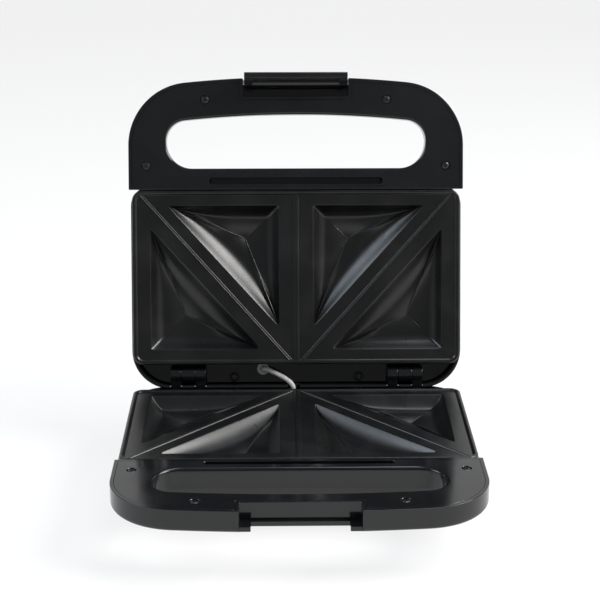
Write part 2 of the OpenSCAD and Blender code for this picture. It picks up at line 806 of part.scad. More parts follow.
base_housing();
base_handle_cover();
base_plate();
base_heating_element();
base_heat_reflector();
base_reflector_screws();
base_cover_screws();
base_hinge_bracket();
base_hinge_screws();
hinge_pin_left();
hinge_pin_right();
foot_front_left();
foot_front_right();
foot_rear_left();
foot_rear_right();
terminal_block();
thermal_fuse();
cord_gland();
base_lead_bush();
lid_housing();
lid_handle_cover();
lid_plate();
lid_heating_element();
lid_heat_reflector();
lid_reflector_screws();
lid_cover_screws();
lid_hinge_bracket();
lid_hinge_screws();
power_lens();
ready_lens();
power_lamp();
ready_lamp();
thermostat();
splice_connector();
lid_lead_bush();
latch_pin();
latch();
lid_lead();
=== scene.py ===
import math

import bpy
import bmesh
import numpy as np
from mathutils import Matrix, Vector
from mathutils.geometry import delaunay_2d_cdt


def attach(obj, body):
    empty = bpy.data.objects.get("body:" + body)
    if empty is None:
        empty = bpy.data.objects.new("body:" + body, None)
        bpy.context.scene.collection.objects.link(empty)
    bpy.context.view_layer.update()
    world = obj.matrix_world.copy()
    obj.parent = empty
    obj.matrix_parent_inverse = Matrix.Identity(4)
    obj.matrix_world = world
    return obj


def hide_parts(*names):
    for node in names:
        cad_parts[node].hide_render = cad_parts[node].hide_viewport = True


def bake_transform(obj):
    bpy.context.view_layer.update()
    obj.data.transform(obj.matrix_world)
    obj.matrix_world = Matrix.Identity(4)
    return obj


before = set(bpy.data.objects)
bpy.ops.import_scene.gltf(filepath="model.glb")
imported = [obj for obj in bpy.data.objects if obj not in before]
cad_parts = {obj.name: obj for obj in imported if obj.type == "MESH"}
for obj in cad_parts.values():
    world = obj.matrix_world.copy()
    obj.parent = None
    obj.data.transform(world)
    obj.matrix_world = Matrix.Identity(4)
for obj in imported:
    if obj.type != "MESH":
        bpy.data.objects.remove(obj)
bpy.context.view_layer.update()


# The studio: a pale sweep of paper, a white lamp to the right, a cooler one to the left and a
# weak one overhead. The side facing the handles stays dark, as it does round a product camera,
# so the black mouldings keep their depth and show the paper only in their turned edges.
def chosen(sockets, key):
    """The socket in use that has this name or this place."""
    live = [s for s in sockets if s.enabled]
    return live[key] if isinstance(key, int) else [s for s in live if s.name == key][0]


class Socket:
    """One output in a node tree. Arithmetic with it adds Math nodes to the tree."""

    def __init__(self, tree, socket=None):
        self.tree = tree
        self.socket = socket

    def feed(self, node, inputs):
        """Sets a node's inputs, and links those whose value is a socket."""
        for key, value in inputs.items():
            target = chosen(node.inputs, key)
            if isinstance(value, Socket):
                self.tree.links.new(value.socket, target)
            else:
                target.default_value = value

    def node(self, kind, settings, inputs, output=0):
        made = self.tree.nodes.new(kind)
        for key, value in settings.items():
            setattr(made, key, value)
        self.feed(made, inputs)
        return Socket(self.tree, chosen(made.outputs, output))

    def maths(self, operation, first, second):
        return self.node("ShaderNodeMath", {"operation": operation}, {0: first, 1: second})

    def __add__(self, other):
        return self.maths("ADD", self, other)

    def __radd__(self, other):
        return self.maths("ADD", other, self)

    def __sub__(self, other):
        return self.maths("SUBTRACT", self, other)

    def __rsub__(self, other):
        return self.maths("SUBTRACT", other, self)

    def __mul__(self, other):
        return self.maths("MULTIPLY", self, other)

    def between(self, low, high):
        """0 below low, 1 above high, smooth in between."""
        return self.node("ShaderNodeMapRange", {"interpolation_type": "SMOOTHSTEP"},
                         {"Value": self, "From Min": low, "From Max": high})


def tint(share, dark, light):
    """A colour that goes from dark to light with share."""
    return share.node("ShaderNodeMix", {"data_type": "RGBA"},
                      {"Factor": share, "A": (*dark, 1), "B": (*light, 1)}, "Result")


paper_white = (0.93, 0.93, 0.93)
paper = bpy.data.materials.new("studio_paper")
paper.use_nodes = True
paper.node_tree.nodes.clear()
sheet = Socket(paper.node_tree)
matt = sheet.node("ShaderNodeBsdfDiffuse", {}, {"Color": (*paper_white, 1)})
lit = sheet.node("ShaderNodeEmission", {}, {"Color": (1, 1, 1, 1), "Strength": 1.0})
seen, mirrored, through = [sheet.node("ShaderNodeLightPath", {}, {}, f"Is {kind} Ray")
                           for kind in ("Camera", "Glossy", "Transmission")]
glow_share = 0.80
shown = sheet.node("ShaderNodeMixShader", {}, {
    0: (seen + mirrored + through) * glow_share, 1: matt, 2: lit})
sheet.feed(paper.node_tree.nodes.new("ShaderNodeOutputMaterial"), {"Surface": shown})

sweep_half_width = 6.0
sweep_front = -3.4
sweep_turn = 2.2
sweep_radius = 0.9
sweep_top = 2.6
sweep_steps = 12
sweep_line = [(sweep_front, 0.0)]
for step in range(sweep_steps + 1):
    lean = math.radians(90 * step / sweep_steps)
    sweep_line.append((sweep_turn + sweep_radius * math.sin(lean), sweep_radius * (1 - math.cos(lean))))
sweep_line.append((sweep_turn + sweep_radius, sweep_top))
sweep_points = [(x, y, z) for y, z in sweep_line for x in (-sweep_half_width, sweep_half_width)]
sweep_faces = [(2 * k, 2 * k + 1, 2 * k + 3, 2 * k + 2) for k in range(len(sweep_line) - 1)]
sweep_mesh = bpy.data.meshes.new("paper_sweep")
sweep_mesh.from_pydata(sweep_points, [], sweep_faces)
for face in sweep_mesh.polygons:
    face.use_smooth = True
sweep = bpy.data.objects.new("paper_sweep", sweep_mesh)
bpy.context.collection.objects.link(sweep)
sweep_mesh.materials.append(paper)

lamp_target = Vector((0, 0, 0.12))


def softbox(name, direction, distance, width, height, power, colour):
    """A rectangular lamp at a distance from the toaster, facing it."""
    lamp = bpy.data.lights.new(name, "AREA")
    lamp.shape = "RECTANGLE"
    lamp.size = width
    lamp.size_y = height
    lamp.energy = power
    lamp.color = colour
    holder = bpy.data.objects.new(name, lamp)
    way = Vector(direction).normalized()
    holder.location = lamp_target + way * distance
    holder.rotation_euler = way.to_track_quat("Z", "Y").to_euler()
    bpy.context.collection.objects.link(holder)


softbox("lamp_right", (0.75, -0.12, 0.62), 1.5, 0.9, 0.7, 34.0, (1.0, 0.99, 0.97))
softbox("lamp_left", (-0.75, -0.05, 0.62), 1.5, 0.8, 0.7, 11.0, (0.80, 0.90, 1.0))
softbox("lamp_top", (0.25, 0.30, 1.0), 1.6, 0.8, 0.6, 8.0, (0.88, 0.94, 1.0))

world = bpy.data.worlds.new("studio_air")
world.use_nodes = True
bpy.context.scene.world = world
world.node_tree.nodes["Background"].inputs["Color"].default_value = (0.20, 0.205, 0.21, 1)
world.node_tree.nodes["Background"].inputs["Strength"].default_value = 1.0
bpy.context.scene.view_settings.view_transform = "Standard"

eye = bpy.data.cameras.new("camera")
eye.sensor_width = 36.0
eye.lens = 97.7
eye.clip_start = 0.05
eye.clip_end = 50
camera = bpy.data.objects.new("camera", eye)
camera.location = (-0.0131, -1.0422, 0.478)
camera.rotation_euler = (math.radians(71.94), 0, math.radians(-0.80))
bpy.context.collection.objects.link(camera)
bpy.context.scene.camera = camera


# The two main mouldings, base and lid, come from one pair of tools: glossy black plastic, a pan
# that holds the hot plate with a hollow handle loop in front of it. All sizes are in millimetres
# in the half's own frame, where z = 0 is the plane in which the closed plates meet.
mm = 0.001
mate_height = 48.0
hinge_y = 76.7
hinge_up = 8.1
open_angle = math.radians(104.6)
plate_front = -57.9
plate_rear = 68.8
front_y = -139.3
front_wall_y = -60.7
rear_y = 86.85
body_half = 120.0
handle_half = 121.0
corner_r = 45.5
corner_x = handle_half - corner_r
corner_y = -90.1
corner_slack = 3.7
front_arc_r = (corner_x ** 2 + corner_slack ** 2) / (2 * corner_slack) + corner_r
front_arc_y = front_y + front_arc_r
front_lean = math.degrees(math.asin(corner_x / (front_arc_r - corner_r)))
top_z = -0.2
handle_z = -14.9
rim_z = -5.0
shell_wall = 2.4
opening_half = 93.8
opening_front_r = 15.0
opening_rear_r = 19.0
opening_arc_r = front_arc_r - 27.0
opening_rear_y = plate_front - 15.65
recess_half = 38.0
recess_y = front_y + 13.8
cover_z = -2.6


def placed(points, half):
    """Half-frame millimetres to row-frame metres."""
    p = np.array(points, float)
    if half == "base":
        p[:, 2] += mate_height
        return p * mm
    dy, dz = p[:, 1] - hinge_y, -p[:, 2] - hinge_up
    y = hinge_y + dy * math.cos(open_angle) + dz * math.sin(open_angle)
    z = mate_height + hinge_up - dy * math.sin(open_angle) + dz * math.cos(open_angle)
    return np.column_stack([p[:, 0], y, z]) * mm


def arc(x, y, r, start, end, steps):
    turn = np.radians(np.linspace(start, end, steps + 1))
    return np.column_stack([x + r * np.cos(turn), y + r * np.sin(turn)])


def cos_sin(degrees):
    return math.cos(math.radians(degrees)), math.sin(math.radians(degrees))


def outline(*parts):
    """Parts joined into one closed line without repeated points."""
    line = np.vstack(parts)
    keep = np.linalg.norm(line - np.roll(line, 1, 0), axis=1) > 1e-4
    return line[keep]


def round_box(half, y0, y1, r0, r1, n0, n1):
    """A rectangle with its middle on x = 0, its front corners and its rear corners rounded."""
    return outline(arc(half - r0, y0 + r0, r0, -90, 0, n0), arc(half - r1, y1 - r1, r1, 0, 90, n1),
                   arc(-half + r1, y1 - r1, r1, 90, 180, n1), arc(-half + r0, y0 + r0, r0, 180, 270, n0))


def inset(line, distance):
    """A counter-clockwise closed line moved inwards, each point along its corner's bisector."""
    before = line - np.roll(line, 1, 0)
    after = np.roll(line, -1, 0) - line
    before /= np.linalg.norm(before, axis=1)[:, None]
    after /= np.linalg.norm(after, axis=1)[:, None]
    left = np.column_stack([-before[:, 1], before[:, 0]])
    right = np.column_stack([-after[:, 1], after[:, 0]])
    share = 1 + (left * right).sum(1)
    return line + distance * (left + right) / share[:, None]


def soften(line, r, steps=5, sharper_than=25):
    """Rounds the sharp corners of a closed line with arcs of radius r."""
    softened = []
    for k, here in enumerate(line):
        a = line[k - 1] - here
        b = line[(k + 1) % len(line)] - here
        reach = min(np.linalg.norm(a), np.linalg.norm(b)) / 2
        a, b = a / np.linalg.norm(a), b / np.linalg.norm(b)
        bend = math.pi - math.acos(np.clip(a @ b, -1, 1))
        if math.degrees(bend) < sharper_than:
            softened.append(here)
            continue
        cut = min(r * math.tan(bend / 2), reach)
        radius = cut / math.tan(bend / 2)
        middle = here + (a + b) / np.linalg.norm(a + b) * radius / math.cos(bend / 2)
        start, end = here + a * cut - middle, here + b * cut - middle
        turn = math.atan2(start[0] * end[1] - start[1] * end[0], start @ end)
        for t in np.linspace(0, turn, steps + 1):
            c, s = math.cos(t), math.sin(t)
            turned_by = np.array([c * start[0] - s * start[1], s * start[0] + c * start[1]])
            softened.append(middle + turned_by)
    return outline(np.array(softened))


def enclosed(point, starts, ends):
    """Whether a point in plan lies inside closed lines, given as their edges."""
    rising = (starts[:, 1] > point[1]) != (ends[:, 1] > point[1])
    a, b = starts[rising], ends[rising]
    beyond = a[:, 0] + (point[1] - a[:, 1]) / (b[:, 1] - a[:, 1]) * (b[:, 0] - a[:, 0]) > point[0]
    return beyond.sum() % 2 == 1


class Skin:
    """A closed skin made of rings of points, in half-frame millimetres."""

    def __init__(self):
        self.points = []
        self.faces = []

    def ring(self, line, z):
        first = len(self.points)
        heights = np.broadcast_to(z, len(line))
        self.points += [(x, y, h) for (x, y), h in zip(line, heights)]
        return list(range(first, len(self.points)))

    def join(self, a, b):
        n = len(a)
        self.faces += [(a[k], a[(k + 1) % n], b[(k + 1) % n], b[k]) for k in range(n)]

    def link(self, rings):
        for a, b in zip(rings, rings[1:]):
            self.join(a, b)

    def run(self, rings):
        """Makes and joins rings in their order and returns the first and the last."""
        made = [self.ring(line, z) for line, z in rings]
        self.link(made)
        return made[0], made[-1]

    def close(self, *rings):
        """A flat face inside the first ring and outside the others."""
        flat = [k for ring in rings for k in ring]
        corners = np.array([self.points[k] for k in flat])
        plane = np.argsort(np.ptp(corners, axis=0))[1:]
        spots = corners[:, np.sort(plane)]
        edges, first = [], 0
        for ring in rings:
            edges += [(first + k, first + (k + 1) % len(ring)) for k in range(len(ring))]
            first += len(ring)
        made = delaunay_2d_cdt([Vector(p) for p in spots], edges, [], 0, 1e-6)
        if not all(made[3]):
            raise ValueError("a line of this face crosses itself or another one")
        origin = [sources[0] for sources in made[3]]
        starts, ends = spots[[e[0] for e in edges]], spots[[e[1] for e in edges]]
        for face in made[2]:
            if enclosed(spots[[origin[k] for k in face]].mean(axis=0), starts, ends):
                self.faces.append(tuple(flat[origin[k]] for k in face))

    def cap(self, *runs):
        """Closes runs of rings at both ends: the first run is the outer one, the others are holes."""
        for ends in zip(*runs):
            self.close(*ends)

    def piece(self, name, half):
        mesh = bpy.data.meshes.new(name)
        mesh.from_pydata(placed(self.points, half).tolist(), [], self.faces)
        work = bmesh.new()
        work.from_mesh(mesh)
        bmesh.ops.remove_doubles(work, verts=work.verts, dist=1e-7)
        bmesh.ops.recalc_face_normals(work, faces=work.faces)
        work.to_mesh(mesh)
        work.free()
        made = bpy.data.objects.new(name, mesh)
        bpy.context.collection.objects.link(made)
        return made


def extruded(name, half, line, low, high):
    """A straight-sided solid over a closed line."""
    skin = Skin()
    skin.cap(skin.run([(line, high), (line, low)]))
    return skin.piece(name, half)


def carve(piece, tools, operation="DIFFERENCE"):
    """Cuts the tools out of a piece, or adds them to it, and removes the tools."""
    for tool in tools:
        change = piece.modifiers.new("carve", "BOOLEAN")
        change.operation = operation
        change.object = tool
        change.solver = "MANIFOLD"
    bpy.context.view_layer.update()
    shown_piece = piece.evaluated_get(bpy.context.evaluated_depsgraph_get())
    made = bpy.data.meshes.new_from_object(shown_piece)
    piece.modifiers.clear()
    piece.data = made
    for tool in tools:
        bpy.data.objects.remove(tool)


def surfaced(piece, material, body, node, sharp=32.0):
    """Smooth shading between soft edges, the finish, the body the piece rides on and its CAD node."""
    mesh = piece.data
    mesh.materials.clear()
    mesh.materials.append(material)
    mesh.polygons.foreach_set("material_index", [0] * len(mesh.polygons))
    mesh.polygons.foreach_set("use_smooth", [True] * len(mesh.polygons))
    mesh.set_sharp_from_angle(angle=math.radians(sharp))
    weighted = piece.modifiers.new("even_normals", "WEIGHTED_NORMAL")
    weighted.keep_sharp = True
    weighted.weight = 80
    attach(piece, body)
    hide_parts(node)


def finish_on(name, build):
    """A node material: build gets the tree's start and returns the inputs of its shader."""
    material = bpy.data.materials.new(name)
    material.use_nodes = True
    start = Socket(material.node_tree)
    start.feed(material.node_tree.nodes["Principled BSDF"], build(start))
    return material


def speckle(start, size, detail, stretch=(1.0, 1.0, 1.0)):
    """Noise from 0 to 1 with features of about size millimetres, finer along a stretched axis."""
    spot = start.node("ShaderNodeTexCoord", {}, {}, "Object")
    if stretch != (1.0, 1.0, 1.0):
        spot = start.node("ShaderNodeMapping", {}, {"Vector": spot, "Scale": stretch})
    return start.node("ShaderNodeTexNoise", {},
                      {"Vector": spot, "Scale": 1000 / size, "Detail": detail}, "Fac")


def relief(start, height, depth):
    """A bump whose full height is depth millimetres."""
    return start.node("ShaderNodeBump", {},
                      {"Height": height, "Distance": depth * mm, "Strength": 1.0}, "Normal")


def moulded_black(start):
    """Polished black plastic: faint flow marks, hand smears and hair scratches."""
    smear = speckle(start, 38, 4).between(0.42, 0.68)
    hair = speckle(start, 1000 / 420, 2, (1.0, 14.0, 9.0)).between(0.66, 0.74)
    peel = speckle(start, 2.6, 2)
    pores = speckle(start, 0.35, 1)
    return {
        "Base Color": tint(smear, (0.0065, 0.0068, 0.0078), (0.0090, 0.0094, 0.0104)),
        "Roughness": 0.105 + smear * 0.07 + hair * 0.05,
        "Specular IOR Level": 0.5,
        "IOR": 1.5,
        "Normal": relief(start, peel * 0.8 + pores * 0.1, 0.010),
    }


gloss_black = finish_on("gloss_black_plastic", moulded_black)


def pan_line(side, front, rear, front_r, rear_r, thin):
    """The body's outline in plan, drawn in by its wall."""
    half = body_half - side - thin
    y0, y1 = front_wall_y + front + thin, rear_y - rear - thin
    return round_box(half, y0, y1, front_r - thin, rear_r - thin, 12, 16)


def smooth_levels(levels, steps):
    """A smooth run through rows of numbers, with a number of steps from each row to the next."""
    rows = np.array(levels, float)
    padded = np.vstack([2 * rows[0] - rows[1], rows, 2 * rows[-1] - rows[-2]])
    made = []
    for k in range(len(rows) - 1):
        p0, p1, p2, p3 = padded[k:k + 4]
        for t in np.linspace(0, 1, steps, endpoint=False):
            made.append(0.5 * (2 * p1 + (p2 - p0) * t + (2 * p0 - 5 * p1 + 4 * p2 - p3) * t ** 2
                               + (3 * p1 - p0 - 3 * p2 + p3) * t ** 3))
    return made + [rows[-1]]


def handle_line(back):
    """The handle loop's outer edge, closed along its back."""
    low, high = 270 - front_lean, 270 + front_lean
    return outline([(-handle_half, back)], arc(-corner_x, corner_y, corner_r, 180, low, 24),
                   arc(0, front_arc_y, front_arc_r, low, high, 24),
                   arc(corner_x, corner_y, corner_r, high - 360, 0, 24), [(handle_half, back)])


def opening_line():
    """The finger opening's edge, counter-clockwise."""
    x = opening_half - opening_front_r
    reach = opening_arc_r - opening_front_r
    y = front_arc_y - math.sqrt(reach ** 2 - x ** 2)
    lean = math.degrees(math.asin(x / reach))
    rear_x = opening_half - opening_rear_r
    rear_c = opening_rear_y - opening_rear_r
    return outline(arc(0, front_arc_y, opening_arc_r, 270 - lean, 270 + lean, 24),
                   arc(x, y, opening_front_r, lean - 90, 0, 16),
                   arc(rear_x, rear_c, opening_rear_r, 0, 90, 16),
                   arc(-rear_x, rear_c, opening_rear_r, 90, 180, 16),
                   arc(-x, y, opening_front_r, 180, 270 - lean, 16))


def stepped(steps, front):
    """The line from a height in front into a stepped notch and out again, from right to left."""
    way_in = [(steps[0][0], front)]
    for k, (half, y) in enumerate(steps):
        way_in += [(half, steps[k - 1][1])] if k else []
        way_in += [(half, y)]
    return way_in + [(-x, y) for x, y in reversed(way_in)]


def notched(line, steps):
    """The handle's line with a stepped notch in the middle of its front."""
    half, margin = steps[0][0], 6
    before = [p for p in line if p[1] < corner_y and p[0] < -half - margin]
    after = [p for p in line if p[1] < corner_y and p[0] > half + margin]
    left = [p for p in line if p[1] >= corner_y and p[0] < 0]
    right = [p for p in line if p[1] >= corner_y and p[0] > 0]
    front = front_arc_y - math.sqrt(front_arc_r ** 2 - half ** 2)
    return outline(left, before, stepped(steps, front)[::-1], after, right)


pan_levels = [[-5, 0, 0, 0, 14, 28], [-16, 0.3, 1.5, 0.3, 14, 28], [-30, 1.2, 7.5, 1.0, 16, 28],
              [-36.5, 3.2, 11.5, 3.0, 16, 26], [-40.4, 7.0, 16.5, 7.0, 15, 23], [-42, 13, 24, 13, 14, 20]]
crown_levels = [[-43.4, 34, 42, 34, 12, 14], [-44, 58, 58, 58, 9, 9]]


def pan(name, half, crowned):
    """The hollow pan: wall, turned lower edge and a flat or slightly crowned face."""
    levels = smooth_levels(pan_levels + (crown_levels if crowned else []), 5)
    lines = [(pan_line(*row[1:], 0), row[0]) for row in levels]
    lips = [(pan_line(0, 0, 0, 14, 28, thin), z)
            for thin, z in ((2.4, -5.8), (2.2, -5.2), (1.7, rim_z), (0.7, rim_z), (0.2, -5.2))]
    inner = [(pan_line(*row[1:], shell_wall), row[0] + shell_wall) for row in levels[::-2] if row[0] < -9]
    skin = Skin()
    skin.cap(skin.run(inner + lips + [(lines[0][0], -5.8)] + lines[1:]))
    return skin.piece(name, half)


def slab(name, half, line, edge, opening_edge):
    """A loop of the handle between its outer edge and the finger opening."""
    skin = Skin()
    outer = skin.run([(inset(line, d), z) for d, z in edge])
    skin.cap(outer, skin.run([(inset(opening_line(), -d), z) for d, z in opening_edge]))
    return skin.piece(name, half)


back_of_handle = plate_front - 0.4
slot_half = 60.2
slot_y = plate_front - 6.7
slot_r = 2.4
soft_top = [(0.45, top_z), (0.2, top_z - 0.06), (0.05, top_z - 0.2), (0, top_z - 0.45)]
soft_bottom = [(2.3 * (1 - c), -12.1 - 2.8 * s) for c, s in map(cos_sin, range(0, 91, 15))]
plain_opening = [(0, -14.2), (0.15, -14.6), (0.5, -14.82), (1.0, handle_z)]


def handle_loop(half, floor_z, upper_steps, lower_steps):
    """The handle of one half, with the latch's recess and the seat for the inner cover."""
    ring = handle_line(back_of_handle)
    upper_line = soften(notched(ring, upper_steps), 0.8)
    upper = slab(half + "_loop", half, upper_line,
                 soft_top + [(0, floor_z), (0.3, floor_z), (0.3, floor_z - 0.5)],
                 [(0, top_z), (0, floor_z), (0.3, floor_z), (0.3, floor_z - 0.5)])
    lower = slab("lower", half, ring, [(0, floor_z)] + [p for p in soft_bottom if p[1] < floor_z - 0.2],
                 [(0, floor_z)] + plain_opening)
    seat = extruded("seat", half, soften(inset(notched(ring, upper_steps), shell_wall), 0.8),
                    cover_z - 0.1, 3)
    well = extruded("well", half, outline(arc(slot_half, slot_y, 2.9, -90, 90, 8),
                                          arc(-slot_half, slot_y, 2.9, 90, 270, 8)), -11.9, 3)
    notch = soften(np.array(stepped(lower_steps, front_y - 8), float), 0.8)
    carve(lower, [extruded("notch", half, notch, -20, floor_z + 1)])
    carve(upper, [lower], "UNION")
    carve(upper, [seat, well])
    return upper


def turned(name, half, centre, axis, profile, count=40, hollow=False):
    """A body of revolution about an axis (0, 1, 2 for x, y, z): radii and places along it."""
    a, b = [k for k in range(3) if k != axis]
    angles = np.radians(np.arange(count) * 360 / count)
    skin = Skin()
    rings = []
    for r, along in profile:
        points = np.tile(np.array(centre, float), (count, 1))
        points[:, a] += r * np.cos(angles)
        points[:, b] += r * np.sin(angles)
        points[:, axis] += along
        rings.append(skin.ring(points[:, :2], points[:, 2]))
    skin.link(rings)
    if hollow:
        skin.join(rings[-1], rings[0])
    else:
        skin.faces += [tuple(rings[0]), tuple(rings[-1])]
    return skin.piece(name, half)


def drill(half, centre, axis, r, length):
    """A round cutter centred on a hole."""
    return turned("drill", half, centre, axis, [(r, -length / 2), (r, length / 2)])


def box_line(x0, x1, y0, y1, r=0.6):
    return soften(np.array([(x0, y0), (x1, y0), (x1, y1), (x0, y1)], float), r)


def hinge_windows(low):
    """Cutters that open the lid's rear round the base's hinge ears."""
    spans = [(66.0, 74.6), (84.0, 92.6), (-74.6, -66.0), (-92.6, -84.0)]
    front, rear = 79.3, 99
    return [extruded("window", "lid", box_line(x0, x1, front, rear, 0.3), low, 1) for x0, x1 in spans]


gland_spot = (70, rear_y, -24)
foot_spots = [(x, y) for x in (-88, 88) for y in (-32, 54)]
lens_spots = [(-11, 2), (11, 2)]
vent_places = [side * (24 + 9 * k) for k in range(4) for side in (-1, 1)]
vent_lines = [outline(arc(x, 14, 1.5, 0, 180, 8), arc(x, -26, 1.5, 180, 360, 8)) for x in vent_places]

base_shell = pan("base_shell", "base", False)
carve(base_shell, [handle_loop("base", -11.9, [(recess_half, recess_y)],
                               [(recess_half, front_y + 3), (30.7, recess_y - 3)])], "UNION")
carve(base_shell, [extruded("vent", "base", line, -44, -38) for line in vent_lines]
      + [drill("base", (x, y, -41), 2, 3.0, 8) for x, y in foot_spots]
      + [drill("base", gland_spot, 1, 6.0, 14)])
surfaced(base_shell, gloss_black, "base", "base_housing")

lid_shell = pan("lid_shell", "lid", True)
carve(lid_shell, [handle_loop("lid", -13.3, [(recess_half, recess_y)], [(recess_half, front_y + 4.7)])],
      "UNION")
carve(lid_shell, hinge_windows(-19)
      + [extruded("lead_slot", "lid", box_line(-6.5, 2.5, 82.85, 92), -14.5, 3)]
      + [drill("lid", (x, y, -42), 2, 3.6, 12) for x, y in lens_spots])
surfaced(lid_shell, gloss_black, "lid", "lid_housing")


# The inner faces of the handles: a thin moulded plate in each loop, dropped into the housing's
# rim with a hair gap and held by four screws. Its finger opening has a rolled lip and a long
# slot runs behind it for the air that the hot plate warms.
cover_edge = 2.55
cover_screws = [(108.3, plate_front - 17.5), (65.5, front_y + 16.3)]


def circle(x, y, r, count=32):
    return arc(x, y, r, 0, 360 * (count - 1) / count, count - 1)


def handle_cover(half):
    """The plate with its opening, air slot and four counterbored screw seats."""
    plan = notched(handle_line(back_of_handle), [(recess_half, recess_y)])
    plan = soften(inset(plan, cover_edge), 0.9)
    plan[:, 1] = np.minimum(plan[:, 1], back_of_handle - 0.1)
    skin = Skin()
    outer = skin.run([(inset(plan, d), z) for d, z in
                      ((0, cover_z), (0, -0.62), (0.05, -0.4), (0.18, -0.25), (0.4, top_z))])
    lip = [(2.1, top_z), (1.65, -0.23), (1.1, -0.36), (0.6, -0.62), (0.25, -1.0), (0.05, -1.5), (0, -2.1),
           (0, cover_z)]
    opening = skin.run([(inset(opening_line(), -d), z) for d, z in lip])
    slot = outline(arc(slot_half, slot_y, slot_r, -90, 90, 12), arc(-slot_half, slot_y, slot_r, 90, 270, 12))
    slot_lip = [(0.4, top_z), (0.15, -0.27), (0, -0.5), (0, cover_z)]
    holes = [opening, skin.run([(inset(slot, -d), z) for d, z in slot_lip])]
    for x, y in cover_screws:
        for side in (-1, 1):
            seat = ((3.6, top_z), (3.4, -0.26), (3.25, -0.45), (3.25, -1.5), (3.1, -1.6), (1.7, -1.6),
                    (1.7, cover_z))
            holes.append(skin.run([(circle(side * x, y, r), z) for r, z in seat]))
    skin.cap(outer[::-1], *holes)
    return skin.piece(half + "_handle_inner", half)


for half in ("base", "lid"):
    surfaced(handle_cover(half), gloss_black, half, half + "_handle_cover")


# The screws: blackened pan heads with a cross recess, each turned to its own angle. Four hold
# each handle plate and two hold each rear deck.
def blackened_steel(start):
    """Blackened steel: a dull sheen, brighter where the driver has rubbed it."""
    rubbed = speckle(start, 0.9, 3).between(0.55, 0.75)
    return {
        "Base Color": tint(rubbed, (0.055, 0.056, 0.060), (0.22, 0.22, 0.23)),
        "Metallic": 0.85,
        "Roughness": 0.36 - rubbed * 0.12,
        "Normal": relief(start, speckle(start, 0.5, 2), 0.02),
    }


screw_black = finish_on("screw_black_steel", blackened_steel)


def cross_head(skin, x, y, low, turn, head_t=1.1, shank=6.5):
    """A pan-head screw standing on the height low, its recess turned by an angle."""
    head_r, blade, reach = 2.8, 0.42, 1.55
    plus = [(blade, -reach), (blade, -blade), (reach, -blade), (reach, blade), (blade, blade),
            (blade, reach), (-blade, reach), (-blade, blade), (-reach, blade), (-reach, -blade),
            (-blade, -blade), (-blade, -reach)]
    c, s = cos_sin(turn)
    cross = np.array([(x + c * u - s * v, y + s * u + c * v) for u, v in plus])
    top = low + head_t
    side = [(1.3, low - shank), (1.3, low), (head_r, low), (head_r, low + 0.35), (head_r - 0.12, low + 0.6),
            (head_r - 0.45, low + 0.86), (head_r - 0.95, top - 0.05), (head_r - 1.15, top)]
    outer = skin.run([(circle(x, y, r), z) for r, z in side])
    recess = skin.run([(cross, top), (inset(cross, 0.12), top - 0.75)])
    skin.close(outer[0])
    skin.close(outer[1], recess[0])
    skin.close(recess[1])


def screw_set(half, name, node, spots, low, turns, *sizes):
    """The screws of one kind in one half, as one piece."""
    skin = Skin()
    for (x, y), turn in zip(spots, turns):
        cross_head(skin, x, y, low, turn, *sizes)
    surfaced(skin.piece(half + name, half), screw_black, half, half + node)


for half, turns in (("base", (12, 64, 38, 81)), ("lid", (27, 5, 73, 50))):
    spots = [(side * x, y) for x, y in cover_screws for side in (-1, 1)]
    screw_set(half, "_handle_screws", "_cover_screws", spots, cover_z + 1, turns)


# The cooking plates: pressed aluminium sheet with a baked-on black non-stick coat. The edge is
# turned down, a soft rim runs round it, and each square has two three-cornered pockets whose
# walls fade out at their sharp tips and whose floors fall in three facets to a point.
plate_half = 118.85
plate_r = 7.5
land_z = -1.4
sheet_t = 2.0
square_spot = np.array([59.1, plate_front + 63.6])
pocket_corner = np.array([-46.6, -52.3])
leg_x, leg_y = 80.4, 88.2
tip_x, tip_y = np.array([leg_x, 0]), np.array([0, leg_y])
lowest = np.array([24.8, 24.2])
lowest_drop = 12.5
side_points = 26
corner_steps = 6
leg_in, leg_drop = 9.6, 8.8
long_in, long_drop = 13.5, 9.6
long_way = (tip_y - tip_x) / np.linalg.norm(tip_y - tip_x)
long_inward = np.array([-long_way[1], long_way[0]])
# each side of the floor: the way in from it and how steeply its facet falls
floor_sides = [(np.array([0, 1.0]), 0.253), (np.array([1.0, 0]), 0.243), (long_inward, 0.257)]


def wall_point(kind, t, u, v):
    """A point of a pocket's wall: t along the side, u across the wall and v down it."""
    if kind == "long":
        bow = max(math.sin(math.pi * t), 0) ** 0.8
        spot = tip_x + (tip_y - tip_x) * t + long_inward * long_in * u * bow
        return np.array([*spot, -long_drop * v * bow ** 0.8])
    end, inward = (tip_x, np.array([0, 1.0])) if kind == "x" else (tip_y, np.array([1.0, 0]))
    fade = max(1 - t ** 3.2, 0)
    spot = end * t + (inward + (1 - t) * inward[::-1]) * leg_in * u * fade
    return np.array([*spot, -leg_drop * v * fade ** 0.7])


def tip_point(tip, u, v):
    way = (lowest - tip) / np.linalg.norm(lowest - tip)
    return np.array([*(tip + way * 2.4 * u), -1.6 * v])


def rounded_corner(before, corner, after):
    share = np.linspace(0, 1, corner_steps + 1)[1:-1, None]
    return list((1 - share) ** 2 * before + 2 * share * (1 - share) * corner + share ** 2 * after)


